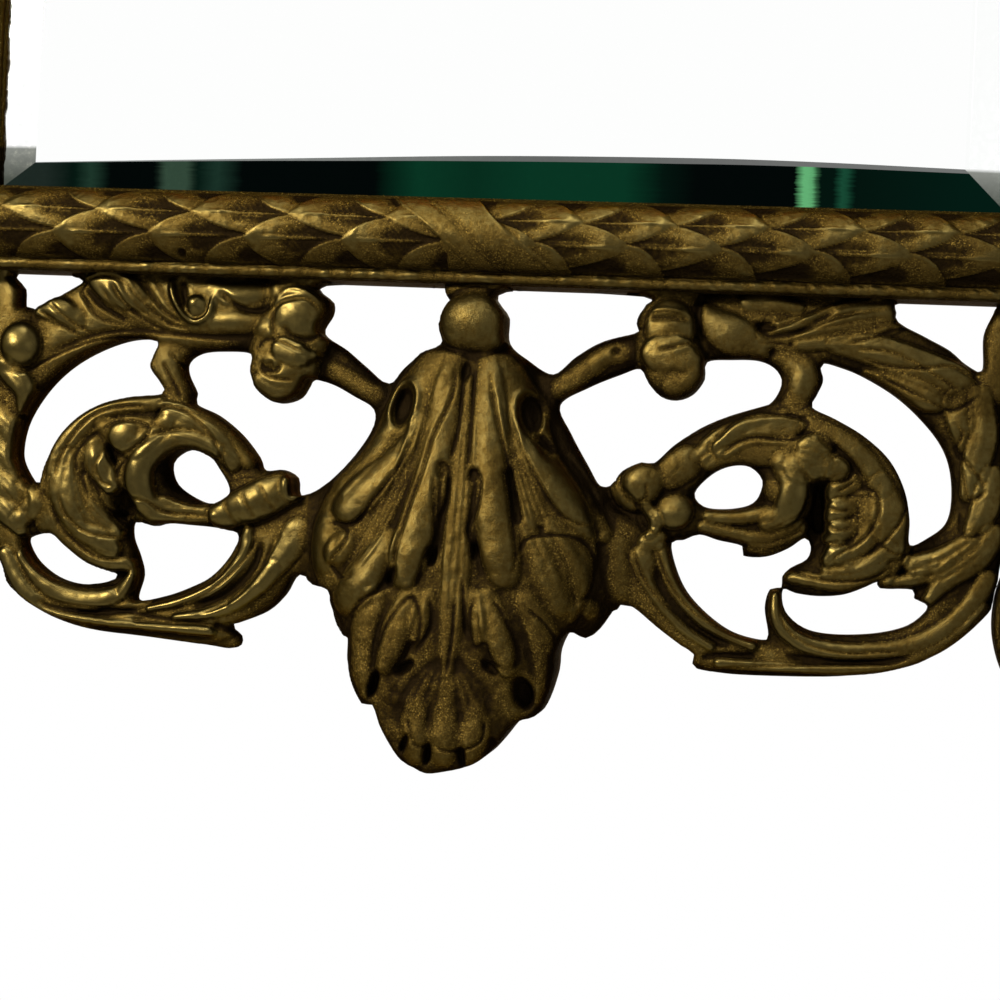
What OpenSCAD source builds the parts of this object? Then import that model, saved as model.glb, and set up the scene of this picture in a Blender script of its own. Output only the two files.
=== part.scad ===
// Wall mirror: a bevelled plate in a cast brass frame with a laurel moulding,
// pierced acanthus scrollwork on all four sides and a palmette at each corner.
// The frame is in millimetres: X to the right, Z up, Y = 0 on the wall, and the front looks along -Y.

/* [Mirror plate] */
// Width of the glass that shows inside the frame
sight_w = 324; // [300:1:350]
// Height of the glass that shows inside the frame
sight_h = 396; // [370:1:430]
// Thickness of the glass
glass_t = 5; // [4:0.5:6]
// Width of the bevel that shows, at the middle of a side
bevel_w = 12.5; // [8:0.5:14]
// How far the bevel falls back at the edge of the glass
bevel_drop = 1.8; // [1:0.1:2.4]
// How far the lower bevel runs out of parallel with the frame, in degrees
bevel_skew = 0.9; // [0:0.1:1.2]
// Thickness of the silvering and its back paint
silver_t = 0.2; // [0.1:0.1:0.4]
// Thickness of the wooden backboard
board_t = 4; // [3:0.5:6]

/* [Rails] */
// Width of a rail, from the sight edge to its outer face
rail_w = 27; // [26:0.5:32]
// Depth of the recess behind the frame, where the hardware lies
recess_d = 9; // [8:0.5:11]
// Thickness of the lip that holds the glass
lip_t = 2.6; // [2:0.2:3.4]
// How far the lip covers the glass
lip_cover = 6; // [5:0.5:7]
// Thickness of the rail's outer wall
wall_t = 4; // [3.5:0.5:5]
// Height of the laurel roll above the lip
roll_h = 9; // [7:0.5:10]

/* [Castings] */
// Gap between the wall and the back of the scrollwork
cast_gap = 3; // [2:0.25:3.5]
// Depth of the scrollwork, as a share of the pattern's own
cast_depth = 1; // [0.8:0.05:1.2]
// Depth of the bosses, as a share of the pattern's own
boss_depth = 1; // [0.8:0.05:1.2]
// Thickness of the bosses' walls, which are hollow behind
boss_wall = 5; // [3:0.5:7]
// Length of the corner palmettes, as a share of the pattern's own
palmette_size = 1; // [0.9:0.05:1.1]

/* [Fixings] */
// Diameter of the small screws
screw_d = 3; // [2.5:0.5:3.5]
// Diameter of their heads
head_d = 6; // [5.5:0.5:6.5]
// Thickness of their heads
head_t = 1.4; // [1:0.2:2]
// Length of a screw behind its head
screw_len = 9; // [8:0.5:12]
// Width of the corner plates
plate_w = 11; // [9:0.5:13]
// Length of each leg of a corner plate
plate_leg = 46; // [40:1:56]
// Thickness of the corner plates and the hanger plates
plate_t = 1.4; // [1:0.2:2]
// Reach of a turn button from its screw over the backboard
button_reach = 17; // [15:0.5:20]
// Half of a turn button's width
button_r = 4.5; // [4:0.5:5.5]
// Thickness of a turn button
button_t = 1.6; // [1.2:0.2:2]
// Height of the hangers above the middle of the frame
hanger_z = 94; // [91:1:96]
// Thickness of a hanging ring's wire
ring_wire = 2.4; // [2:0.2:2.8]
// Distance between the arms of a hanging ring, middle to middle
ring_w = 14; // [13:0.5:16]
// Length of a hanging ring
ring_len = 18; // [16:1:22]
// Length of a hanger plate
hanger_len = 34; // [32:1:42]

/* [Clearances] */
// Glass to the rebate's wall, filled by the cork slips
glass_gap = 1; // [0.6:0.1:1.4]
// Backboard to the rebate's wall
board_gap = 0.6; // [0.4:0.1:1]
// Hanging ring's wire to its knuckle
ring_gap = 0.1; // [0.05:0.01:0.2]
// Hanging ring to the face of its plate
ring_lift = 0.5; // [0.4:0.05:0.8]
// Turn button to the screw that it turns on
button_gap = 0.1; // [0.05:0.05:0.2]
// Turn button to the backboard under it and the head over it
slide_gap = 0.15; // [0.1:0.05:0.3]
// A screw to the hole that it passes through
hole_gap = 0.25; // [0.15:0.05:0.4]
// Hanging ring to the rail's outer wall beside it
ring_room = 0.8; // [0.5:0.1:1.2]
// Turn button, when it is turned aside, to the backboard's edge
button_room = 1.6; // [0.6:0.2:2.4]

/* [Hidden] */

brass = "goldenrod";
bright_brass = "gold";
steel = "dimgray";
round_fn = 32;
eps = 0.01;
// How far a cutter runs past the face that it cuts, and a size larger than the object
past = 1;
far = 1000;

// Planes across the depth, from the wall to the front
shoulder_y = -recess_d;
board_front_y = shoulder_y - board_t;
glass_back_y = board_front_y - silver_t;
glass_front_y = glass_back_y - glass_t;
// The bevel has fallen this far where its narrowest stretch meets the sight edge
bevel_run_out = (sight_w / 2 - bevel_w) * tan(bevel_skew);
narrow_bevel = bevel_w - bevel_run_out;
fall_at_sight = bevel_drop * narrow_bevel / (narrow_bevel + lip_cover);
lip_back_y = glass_front_y + fall_at_sight - eps;
lip_front_y = lip_back_y - lip_t;
cast_back_y = -cast_gap;

// Planes across a rail, as distances from the sight edge
rebate_r = lip_cover + glass_gap;
wall_r = rail_w - wall_t;
shoulder_mid_r = (rebate_r + wall_r) / 2;

// The rail's section, as [distance from the sight edge, y]: an outer wall, a lip and a laurel roll
bead_r = 1.8;
fillet_w = 1;
groove_w = 1.6;
roll_in_r = fillet_w;
roll_out_r = rail_w - 2 * bead_r;
roll_mid_r = (roll_in_r + roll_out_r) / 2;
roll_half = (roll_out_r - roll_in_r) / 2;
roll_arc_r = (roll_half * roll_half + roll_h * roll_h) / (2 * roll_h);
step_h = 1.2;
step_y = lip_front_y - step_h;
arc_fn = 48;
module rail_section() {
    polygon([[0, lip_back_y], [0, lip_front_y], [fillet_w, step_y], [rail_w - groove_w, step_y],
        [rail_w, step_y + 2 * bead_r], [rail_w, 0], [wall_r, 0], [wall_r, shoulder_y],
        [rebate_r, shoulder_y], [rebate_r, lip_back_y]]);
    intersection() {
        translate([roll_mid_r, step_y - roll_h + roll_arc_r]) circle(r = roll_arc_r, $fn = arc_fn);
        translate([roll_in_r, step_y - 2 * roll_h]) square([2 * roll_half, 2 * roll_h + past]);
    }
    translate([rail_w - bead_r, step_y + bead_r / 2]) circle(r = bead_r, $fn = round_fn);
}

// A rail along X below the glass, with its sight edge on the X axis and mitred ends
module rail_blank(half) {
    reach = half + 2 * rail_w;
    intersection() {
        translate([-reach, 0, 0]) rotate([0, 90, 0]) linear_extrude(height = 2 * reach) rail_section();
        translate([0, eps, 0]) rotate([90, 0, 0]) linear_extrude(height = far)
            polygon([[past - half, past], [half - past, past], [reach, -2 * rail_w], [-reach, -2 * rail_w]]);
    }
}

module drill(d, depth) {
    cylinder(h = depth, d = d, $fn = round_fn);
}

// A blind hole into the shoulder, from behind, at distance r from the sight edge
module shoulder_hole(x, r) {
    translate([x, shoulder_y + eps, -r]) rotate([90, 0, 0]) drill(screw_d, screw_len + eps);
}

// A hole through the outer wall, for a casting's screw, a little in front of the recess's middle
wall_screw_share = 0.6;
wall_screw_y = -wall_screw_share * recess_d;
module wall_hole(x) {
    translate([x, wall_screw_y, -rail_w - past]) drill(screw_d + 2 * hole_gap, wall_t + 2 * past);
}

// Places of the fixings along a rail
plate_holes = [0.35, 0.8];
function corner_holes(half) = [for (f = plate_holes, side = [-1, 1])
    side * (half + shoulder_mid_r - plate_w / 2 - f * (plate_leg - plate_w))];
casting_x = [-112, -62, -4, 58, 106];
function casting_holes(half) = [for (x = casting_x) stretched(x, half)];
palmette_in = 11;
function palmette_holes(half) = [for (side = [-1, 1]) side * (half + rail_w - palmette_in)];

module rail(half, button_x = [], hanger_x = []) {
    color(brass) difference() {
        rail_blank(half);
        for (x = corner_holes(half)) shoulder_hole(x, shoulder_mid_r);
        for (x = button_x) shoulder_hole(x, button_pivot_r);
        for (x = hanger_x) shoulder_hole(x, hanger_r);
        for (x = concat(casting_holes(half), palmette_holes(half))) wall_hole(x);
    }
}

// Puts a piece that was drawn for the bottom, below its sight edge, on one of the four sides
module on_bottom() translate([0, 0, -sight_h / 2]) children();
module on_top() translate([0, 0, sight_h / 2]) rotate([0, 180, 0]) children();
module on_left() translate([-sight_w / 2, 0, 0]) rotate([0, 90, 0]) children();
module on_right() translate([sight_w / 2, 0, 0]) rotate([0, -90, 0]) children();

// The turn buttons: two on each long rail, at these shares of the glass's height, one on each short rail
button_pivot_r = rebate_r - board_gap + button_r + button_room;
button_shares = [-0.33, 0.35];
side_button_z = [for (f = button_shares) f * sight_h];
function turned_about(places) = [for (z = places) -z];
module bottom_rail() on_bottom() rail(sight_w / 2, button_x = [0]);
module top_rail() on_top() rail(sight_w / 2, button_x = [0]);
// The left rail is turned so that its X runs down, and the right rail's runs up
module left_rail() on_left()
    rail(sight_h / 2, button_x = turned_about(side_button_z), hanger_x = turned_about(hanger_holes));
module right_rail() on_right() rail(sight_h / 2, button_x = side_button_z, hanger_x = hanger_holes);

// The glass. Its lower bevel runs a little out of parallel, as a hand-ground one does.
module plate(w, h, t) {
    cube([w, t, h], center = true);
}
skin_t = 0.02;
module mirror_glass() {
    w = sight_w + 2 * lip_cover;
    h = sight_h + 2 * lip_cover;
    flat_x = sight_w / 2 - bevel_w;
    flat_z = sight_h / 2 - bevel_w;
    edge_front_y = glass_front_y + bevel_drop;
    color("darkseagreen") hull() {
        translate([0, (glass_back_y + edge_front_y) / 2, 0]) plate(w, h, glass_back_y - edge_front_y);
        translate([0, glass_front_y + skin_t, 0]) rotate([90, 0, 0]) linear_extrude(height = skin_t)
            polygon([[-flat_x, -flat_z - bevel_run_out], [flat_x, -flat_z + bevel_run_out],
                [flat_x, flat_z], [-flat_x, flat_z]]);
    }
}

module silvering() {
    color("silver") translate([0, glass_back_y + silver_t / 2, 0])
        plate(sight_w + 2 * lip_cover, sight_h + 2 * lip_cover, silver_t);
}

module backboard() {
    inset = rebate_r - board_gap;
    color("saddlebrown") translate([0, shoulder_y - board_t / 2, 0])
        plate(sight_w + 2 * inset, sight_h + 2 * inset, board_t);
}

// Cork slips between the glass's edge and the rebate
slip_len = 24;
slip_most_t = 3;
slip_places = [-0.55, 0.55];
module slips(half, span) {
    slip_t = min(glass_t - bevel_drop, slip_most_t);
    for (f = slip_places) translate([f * span, glass_back_y - slip_t / 2, -lip_cover - glass_gap / 2])
        cube([slip_len, slip_t, glass_gap], center = true);
}
module cork_slips() {
    color("peru") {
        on_bottom() slips(sight_w / 2, sight_w / 2);
        on_top() slips(sight_w / 2, sight_w / 2);
        on_left() slips(sight_h / 2, sight_h / 2);
        on_right() slips(sight_h / 2, sight_h / 2);
    }
}

// A slotted screw: the underside of its head is at the origin, and its shank runs along +Z
slot_w = 0.8;
module screw(len = screw_len) {
    difference() {
        translate([0, 0, -head_t]) cylinder(h = head_t, d = head_d, $fn = round_fn);
        translate([-head_d, -slot_w / 2, -head_t - eps]) cube([2 * head_d, slot_w, head_t / 2]);
    }
    cylinder(h = len, d = screw_d - 2 * eps, $fn = round_fn);
}

// A screw from behind into the shoulder, over a plate of thickness t
module shoulder_screw(x, r, t) {
    translate([x, shoulder_y + t, -r]) rotate([90, 0, 0]) screw(screw_len + t - 2 * hole_gap);
}

// Corner plates: an L across each mitre
module corner_plate(sx, sz) {
    in = shoulder_mid_r - plate_w / 2;
    x0 = sight_w / 2 + in;
    z0 = sight_h / 2 + in;
    color(steel) scale_to(sx, sz) difference() {
        union() {
            translate([x0 + plate_w - plate_leg, shoulder_y, z0]) cube([plate_leg, plate_t, plate_w]);
            translate([x0, shoulder_y, z0 + plate_w - plate_leg]) cube([plate_w, plate_t, plate_leg]);
        }
        for (f = plate_holes) {
            reach = f * (plate_leg - plate_w);
            plate_hole(x0 - reach, z0 + plate_w / 2);
            plate_hole(x0 + plate_w / 2, z0 - reach);
        }
    }
}
module plate_hole(x, z) {
    translate([x, shoulder_y + plate_t + past, z]) rotate([90, 0, 0])
        drill(screw_d + 2 * hole_gap, plate_t + 2 * past);
}
module scale_to(sx, sz) {
    if (sx > 0 && sz > 0) children();
    if (sx < 0 && sz > 0) mirror([1, 0, 0]) children();
    if (sx > 0 && sz < 0) mirror([0, 0, 1]) children();
    if (sx < 0 && sz < 0) rotate([0, 180, 0]) children();
}
module corner_plate_1() corner_plate(-1, -1);
module corner_plate_2() corner_plate(1, -1);
module corner_plate_3() corner_plate(-1, 1);
module corner_plate_4() corner_plate(1, 1);
module corner_plate_screws() {
    color(bright_brass) {
        on_bottom() for (x = corner_holes(sight_w / 2)) shoulder_screw(x, shoulder_mid_r, plate_t);
        on_top() for (x = corner_holes(sight_w / 2)) shoulder_screw(x, shoulder_mid_r, plate_t);
        on_left() for (x = corner_holes(sight_h / 2)) shoulder_screw(x, shoulder_mid_r, plate_t);
        on_right() for (x = corner_holes(sight_h / 2)) shoulder_screw(x, shoulder_mid_r, plate_t);
    }
}

// Turn buttons hold the backboard in
button_tail = 6;
module button_outline() {
    tip = button_r - button_reach;
    tail = button_tail - button_r;
    for (y = [tip, 0, tail]) translate([0, y]) circle(r = button_r, $fn = round_fn);
    translate([-button_r, tip]) square([2 * button_r, tail - tip]);
}
module turn_button(x) {
    color(bright_brass) translate([x, shoulder_y + slide_gap + button_t, -button_pivot_r]) rotate([90, 0, 0])
        mirror([0, 1, 0]) linear_extrude(height = button_t) difference() {
            button_outline();
            circle(d = screw_d + 2 * button_gap, $fn = round_fn);
        }
}
module turn_button_1() on_bottom() turn_button(0);
module turn_button_2() on_top() turn_button(0);
module turn_button_3() on_left() turn_button(-side_button_z[0]);
module turn_button_4() on_left() turn_button(-side_button_z[1]);
module turn_button_5() on_right() turn_button(side_button_z[0]);
module turn_button_6() on_right() turn_button(side_button_z[1]);
module turn_button_screws() {
    over = button_t + 2 * slide_gap;
    color(steel) {
        on_bottom() shoulder_screw(0, button_pivot_r, over);
        on_top() shoulder_screw(0, button_pivot_r, over);
        for (z = side_button_z) {
            on_left() shoulder_screw(-z, button_pivot_r, over);
            on_right() shoulder_screw(z, button_pivot_r, over);
        }
    }
}

// Hangers: a strap screwed to the shoulder, with a knuckle at its top that holds a ring
hanger_r = wall_r - ring_w / 2 - ring_wire / 2 - ring_room;
hanger_w = 10;
knuckle_len = 8;
knuckle_wall = 1;
knuckle_d = ring_wire + 2 * ring_gap + 2 * knuckle_wall;
knuckle_y = shoulder_y + plate_t + ring_lift + ring_wire / 2;
knuckle_room = 0.6;
hanger_top_z = hanger_z - knuckle_d / 2 - knuckle_room;
hanger_hole_in = [5, 8];
hanger_holes = [hanger_top_z - hanger_len + hanger_hole_in[0], hanger_top_z - hanger_hole_in[1]];
module hanger_plate() {
    neck = hanger_z - hanger_top_z + past;
    color(steel) difference() {
        union() {
            translate([-hanger_w / 2, shoulder_y, hanger_top_z - hanger_len])
                cube([hanger_w, plate_t, hanger_len]);
            translate([-knuckle_len / 2, shoulder_y, hanger_z - neck]) cube([knuckle_len, plate_t, neck]);
            along_bar(knuckle_len) cylinder(h = knuckle_len, d = knuckle_d, $fn = round_fn);
        }
        along_bar(2 * knuckle_len) drill(ring_wire + 2 * ring_gap, 2 * knuckle_len);
        translate([-far / 2, shoulder_y - far, hanger_z - far / 2]) cube([far, far, far]);
        for (z = hanger_holes) translate([0, shoulder_y + plate_t, z]) rotate([90, 0, 0]) {
            drill(screw_d + 2 * hole_gap, plate_t + past);
            flat_head(sink_gap);
        }
    }
}
module hanger_plate_left() translate([-sight_w / 2 - hanger_r, 0, 0]) hanger_plate();
module hanger_plate_right() translate([sight_w / 2 + hanger_r, 0, 0]) hanger_plate();

// Lays a piece of length len along the axis on which the ring swings
module along_bar(len) {
    translate([-len / 2, knuckle_y, hanger_z]) rotate([0, 90, 0]) children();
}

// The ring hangs down from its bar: two arms and a half round
module hanger_ring() {
    arm = ring_len - ring_w / 2;
    color(bright_brass) along_bar(ring_w) cylinder(h = ring_w, d = ring_wire, $fn = round_fn);
    color(bright_brass) translate([0, knuckle_y, hanger_z]) {
        for (side = [-1, 1]) translate([side * ring_w / 2, 0, 0]) {
            sphere(d = ring_wire, $fn = round_fn);
            translate([0, 0, -arm]) cylinder(h = arm, d = ring_wire, $fn = round_fn);
        }
        translate([0, 0, -arm]) rotate([90, 0, 0]) rotate([0, 0, 180])
            rotate_extrude(angle = 180, $fn = round_fn)
                translate([ring_w / 2, 0]) circle(d = ring_wire, $fn = round_fn);
    }
}
module hanger_ring_left() translate([-sight_w / 2 - hanger_r, 0, 0]) hanger_ring();
module hanger_ring_right() translate([sight_w / 2 + hanger_r, 0, 0]) hanger_ring();
module hanger_screws() {
    color(steel) for (side = [-1, 1], z = hanger_holes)
        translate([side * (sight_w / 2 + hanger_r), shoulder_y + plate_t, z]) rotate([90, 0, 0])
            flat_screw();
}
// The hanger's screws are countersunk flush, so that the ring can lie over them
sink_gap = 0.05;
flat_head_t = 1.1;
module flat_head(gap = 0) {
    cylinder(h = flat_head_t + gap, d1 = screw_d + 2 * flat_head_t + 2 * gap, d2 = screw_d, $fn = round_fn);
}
module flat_screw() {
    flat_head();
    cylinder(h = screw_len + plate_t - 2 * hole_gap, d = screw_d - 2 * eps, $fn = round_fn);
}

// The scrollwork pattern. Places are [x, z, half width, height above the back], drawn for the bottom
// side, with x from the frame's middle and z down from the datum. The rail's outer face is at z = seat_z.
seat_z = 2;
joint_left = -48;
joint_right = 45;

// Stretches the pattern along the rail to suit the rail's length. The boss between the joints keeps its
// size, and the pattern has its own size where plain_half is half of the sight edge.
function stretch_of(half, joint) = (half + rail_w - abs(joint)) / (pattern_half - abs(joint));
function stretched(x, half) =
    x < joint_left ? joint_left + (x - joint_left) * stretch_of(half, joint_left)
    : x > joint_right ? joint_right + (x - joint_right) * stretch_of(half, joint_right) : x;

// The left scroll
ring_l = [[-58, -9, 8, 10], [-84, -9, 10.5, 12], [-115, -8.5, 11, 12], [-129, -12.5, 10, 12],
    [-141, -20, 9, 12], [-150.5, -32, 7.5, 11], [-155.5, -46, 7.5, 11], [-157, -60, 7, 11],
    [-155, -75, 7, 11], [-149.5, -90, 6.5, 10], [-140.5, -102.5, 8, 10], [-125, -108.5, 7, 10],
    [-112, -107, 4.5, 10], [-110, -93, 2, 8]];
curl_l = [[-112, -88, 4, 9], [-124, -85, 9, 12], [-132, -76, 12, 14], [-133, -63, 12, 14],
    [-126, -52, 11, 14], [-113, -46, 9, 13], [-99, -46, 8.3, 12], [-87, -51, 7.3, 11],
    [-78, -60, 6.5, 10], [-71, -67, 8, 13], [-60, -66, 5, 12]];
lip_l = [[-100, -48, 4, 11], [-111, -59, 7, 14], [-109, -70, 7, 13], [-97, -76, 4.5, 9],
    [-80, -72, 5, 10], [-73, -70, 5, 10]];
strut_l = [[-101, -10, 7, 9], [-103.5, -27, 5.5, 10], [-98, -44, 5.5, 9]];
ear_l = [[-62, 6, 7, 12], [-60, -9, 9.5, 15], [-65.5, -28, 9.6, 15], [-66, -37, 4, 12]];
rod_l = [[-64, -20, 5, 8], [-48, -25.5, 4.2, 8], [-38, -32, 4.2, 8], [-20, -42, 5, 8]];
stem_l = [[-36, -78, 12, 14], [-57, -82, 12, 12], [-70, -93, 9.5, 11], [-82, -105, 8, 10],
    [-98, -111, 6, 9], [-126, -112, 4, 8]];
post_l = [[-160, 6, 5, 8], [-158, -8, 5.5, 9], [-155.5, -24, 7, 14], [-155, -31, 4, 10]];

// The right scroll
ring_r = [[58, -9, 8, 10], [84, -9, 9.5, 12], [113, -9, 11, 12], [128, -12.5, 11, 12], [140, -21, 10, 12],
    [150.5, -32, 9, 12], [156, -46, 9, 11], [157.5, -60, 9, 11], [156, -75, 9, 11], [150.5, -90, 8.5, 10],
    [140, -103, 8, 10], [125, -109.5, 6.5, 10], [108, -109, 5, 9], [99, -101, 3.6, 8], [97, -90.5, 2, 6]];
curl_r = [[101, -88, 2.5, 6], [112, -85, 6.5, 10], [122, -78, 10.5, 13], [125, -66, 12, 14],
    [121, -53, 12, 14], [111, -44.5, 10.5, 14], [98, -41.5, 9, 13], [86, -44, 8, 12],
    [75, -49, 6.6, 11], [65, -54, 6.5, 13], [52, -59, 6.5, 14]];
lip_r = [[94, -46, 6, 11], [99, -58, 6.5, 14], [94, -68, 5, 11], [77, -70, 4.5, 9],
    [64, -67.5, 6, 12], [52, -72, 5, 9]];
strut_r = [[99, -10, 8, 9], [102, -24, 6.2, 11], [99, -37, 6, 9]];
ear_r = [[60, 6, 7.5, 12], [59, -9, 8, 14], [62, -23, 9.5, 15], [62, -31, 4, 12]];
rod_r = [[62, -16.5, 5, 8], [44, -18.5, 4.4, 8], [34, -24, 4.4, 8], [14, -38, 6, 8]];
stem_r = [[34, -80, 12, 14], [48, -84, 12, 12], [58, -93, 9, 11], [69, -104, 8, 10],
    [84, -110.5, 5.5, 9], [112, -113, 3.5, 8]];
spray_r = [[158, -74, 6, 9], [146, -82, 6, 8], [131, -87, 3, 6]];
post_r = [[164, 6, 5, 8], [162.5, -8, 5.5, 9], [159, -24, 6.5, 12], [158, -30, 4, 10]];

// Half of the length of the rail that the pattern is drawn for
corner_room = 31.5;
pattern_half = max([for (p = ring_r) p[0]]) + corner_room;
plain_half = pattern_half - rail_w;

scroll_left_strokes = [ring_l, curl_l, lip_l, strut_l, ear_l, rod_l, stem_l, post_l];
scroll_right_strokes = [ring_r, curl_r, lip_r, strut_r, ear_r, rod_r, stem_r, spray_r, post_r];

// Faces of a closed skin over rings of m points each. A flat ring closes each end.
function skin_faces(rings, m) = concat(
    [for (k = [0:rings - 2], i = [0:m - 1]) let (j = (i + 1) % m, a = k * m, b = a + m)
        each [[a + i, b + j, b + i], [a + i, a + j, b + j]]],
    [[for (i = [m - 1:-1:0]) i]],
    [[for (i = [0:m - 1]) (rings - 1) * m + i]]);

// A bar of rounded section along its places, its back flat at y = 0 and its crown towards -Y
section = [[-1, 0], [-0.6, 0.92], [0.6, 0.92], [1, 0]];
function heading(c, i) =
    let (a = c[max(i - 1, 0)], b = c[min(i + 1, len(c) - 1)], d = [b[0] - a[0], b[1] - a[1]]) d / norm(d);
function section_at(p, d, depth, half) = [for (q = section) let (side = q[0] * p[2])
    rounded([stretched(p[0] - d[1] * side, half), -q[1] * p[3] * depth, p[1] + d[0] * side])];
// Points are rounded to a grid, so that pieces that share a section meet cleanly
grid = 1 / 64;
function rounded(v) = [for (a = v) round(a / grid) * grid];
module bar(places, depth = 1, half = plain_half) {
    rings = [for (i = [0:len(places) - 1]) section_at(places[i], heading(places, i), depth, half)];
    for (i = [0:len(places) - 2]) hull()
        polyhedron(points = concat(rings[i], rings[i + 1]), faces = skin_faces(2, len(section)));
}

// A bead on the casting, given as [x, z, radius, height]
bead_fn = 8;
bead_shoulder = 0.7;
function circle_at(p, r, y, half) = [for (k = [0:bead_fn - 1]) let (a = 360 * k / bead_fn)
    rounded([stretched(p[0] + r * cos(a), half), y, p[1] + r * sin(a)])];
module bead(p, depth = 1, half = plain_half) {
    h = p[3] * depth;
    rings = [circle_at(p, p[2], 0, half), circle_at(p, p[2], -bead_shoulder * h, half),
        circle_at(p, p[2] / 2, -h, half)];
    hull() polyhedron(points = [for (r = rings) each r], faces = skin_faces(3, bead_fn));
}
beads_l = [[-155.5, -23, 7, 16], [-66, -28, 8, 17]];
beads_r = [[62, -22, 8, 17], [54, -58, 7, 16], [59, -64, 6, 13]];

// Everything outside the casting's own ground: the rail above it, the piece past a joint, the wall behind.
// Told side 1, past_joint is what lies left of the plane at x, and told side -1, what lies right of it.
module above_seat() translate([-far / 2, -far / 2, seat_z]) cube([far, far, far]);
module past_joint(x, side) {
    translate([side > 0 ? x - far : x, -far / 2, -far / 2]) cube([far, far, far]);
}
module behind_back() translate([-far / 2, 0, -far / 2]) cube([far, far, far]);

// Puts a casting drawn in its own frame under the rail
module hung() translate([0, cast_back_y, -rail_w - seat_z]) children();

// Pilot holes for the screws that come through the rail's wall, clear of the screw at their flats
casting_screw_in = 6;
pilot_fn = 8;
pilot_d = screw_d / cos(180 / pilot_fn);
module casting_screw_holes(half) {
    y = wall_screw_y - cast_back_y;
    for (x = casting_x) translate([stretched(x, half), y, seat_z - casting_screw_in])
        cylinder(h = far, d = pilot_d, $fn = pilot_fn);
}

module scroll(half, strokes, beads, joint, side) {
    color(brass) hung() difference() {
        union() {
            for (s = strokes) bar(s, cast_depth, half);
            for (b = beads) bead(b, cast_depth, half);
        }
        above_seat();
        past_joint(joint, side);
        behind_back();
        casting_screw_holes(half);
    }
}
module scroll_left(half) scroll(half, scroll_left_strokes, beads_l, joint_left, -1);
module scroll_right(half) scroll(half, scroll_right_strokes, beads_r, joint_right, 1);

// The boss: a hanging acanthus leaf, a fluted body given as [x, z, half width, height], with lobes on it
boss_x = -4;
boss_body = [[boss_x, -14, 10, 13], [boss_x, -24, 19, 17], [boss_x, -36, 25, 21], [boss_x, -50, 31, 25],
    [boss_x - 1, -64, 41, 27], [boss_x - 1, -80, 46, 28], [boss_x - 1, -94, 43, 29], [boss_x, -108, 34, 31],
    [boss_x, -122, 30, 33], [boss_x, -134, 24, 34], [boss_x, -144, 17, 33], [boss_x, -150, 10, 29]];
flutes = 6;
flute_depth = 0.13;
edge_share = 0.45;
// Across the leaf, u runs from -1 to 1. A ridge lies at every other point, the widest at the middle.
function leaf_height(j) = let (u = j / flutes)
    (edge_share + (1 - edge_share) * sqrt(1 - u * u)) * (j % 2 == 0 ? 1 : 1 - flute_depth);
function leaf_ring(b, depth) = concat([[b[0] - b[2], 0, b[1]]],
    [for (j = [-flutes:flutes]) [b[0] + b[2] * j / flutes, -b[3] * depth * leaf_height(j), b[1]]],
    [[b[0] + b[2], 0, b[1]]]);
module leaf_body(body, depth) {
    rings = [for (b = body) leaf_ring(b, depth)];
    points = [for (r = rings) each r];
    polyhedron(points = points, faces = skin_faces(len(rings), 2 * flutes + 3), convexity = 8);
}
// Hollow behind, between these places of the body
hollow_from = 3;
hollow_to = len(boss_body) - 3;
boss_hollow = [for (k = [hollow_from:hollow_to]) let (b = boss_body[k])
    [b[0], b[1], b[2] - boss_wall, b[3] - boss_wall / boss_depth]];
boss_lobes = [
    [[-18, -84, 7, 33], [-20, -93, 5, 36]], [[7, -84, 7, 33], [9, -93, 5, 36]],
    [[-22, -108, 7, 35], [-27, -121, 4, 37]], [[9, -108, 7, 35], [12, -121, 4, 37]],
    [[-35, -98, 8, 26], [-34, -115, 4.5, 28], [-33, -131, 2.5, 26]],
    [[28, -98, 8, 26], [25, -115, 4, 28], [23, -132, 2.5, 26]]];
tip_teeth = [[-19, -146, 4, 29], [-11.5, -148, 4.4, 33], [-3.5, -148.5, 4.4, 34], [4.5, -147.5, 4.4, 33],
    [12, -143.5, 4, 29]];
// The two eyes, as [x, z, half width, half height, tilt]
eyes = [[-25.5, -37, 3.5, 7.5, -8], [16, -38, 3.5, 7.5, 10]];
boss_ball = [boss_x, -8.5, 12, 19];
// The block under the rail, as [width, depth, height]
boss_seat = [22, 10, 14];

module boss(half) {
    color(brass) hung() difference() {
        union() {
            leaf_body(boss_body, boss_depth);
            for (s = boss_lobes) bar(s, boss_depth);
            for (b = concat([boss_ball], tip_teeth)) bead(b, boss_depth);
            for (s = [rod_l, rod_r, stem_l, stem_r]) bar(s, cast_depth, half);
            translate([boss_x - boss_seat[0] / 2, -boss_seat[1], seat_z - boss_seat[2]]) cube(boss_seat);
        }
        translate([0, eps, 0]) leaf_body(boss_hollow, boss_depth);
        for (e = eyes) translate([e[0], 0, e[1]]) rotate([0, e[4], 0]) eye_cutter(e[2], e[3]);
        above_seat();
        past_joint(joint_left, 1);
        past_joint(joint_right, -1);
        behind_back();
        casting_screw_holes(half);
    }
}

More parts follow.
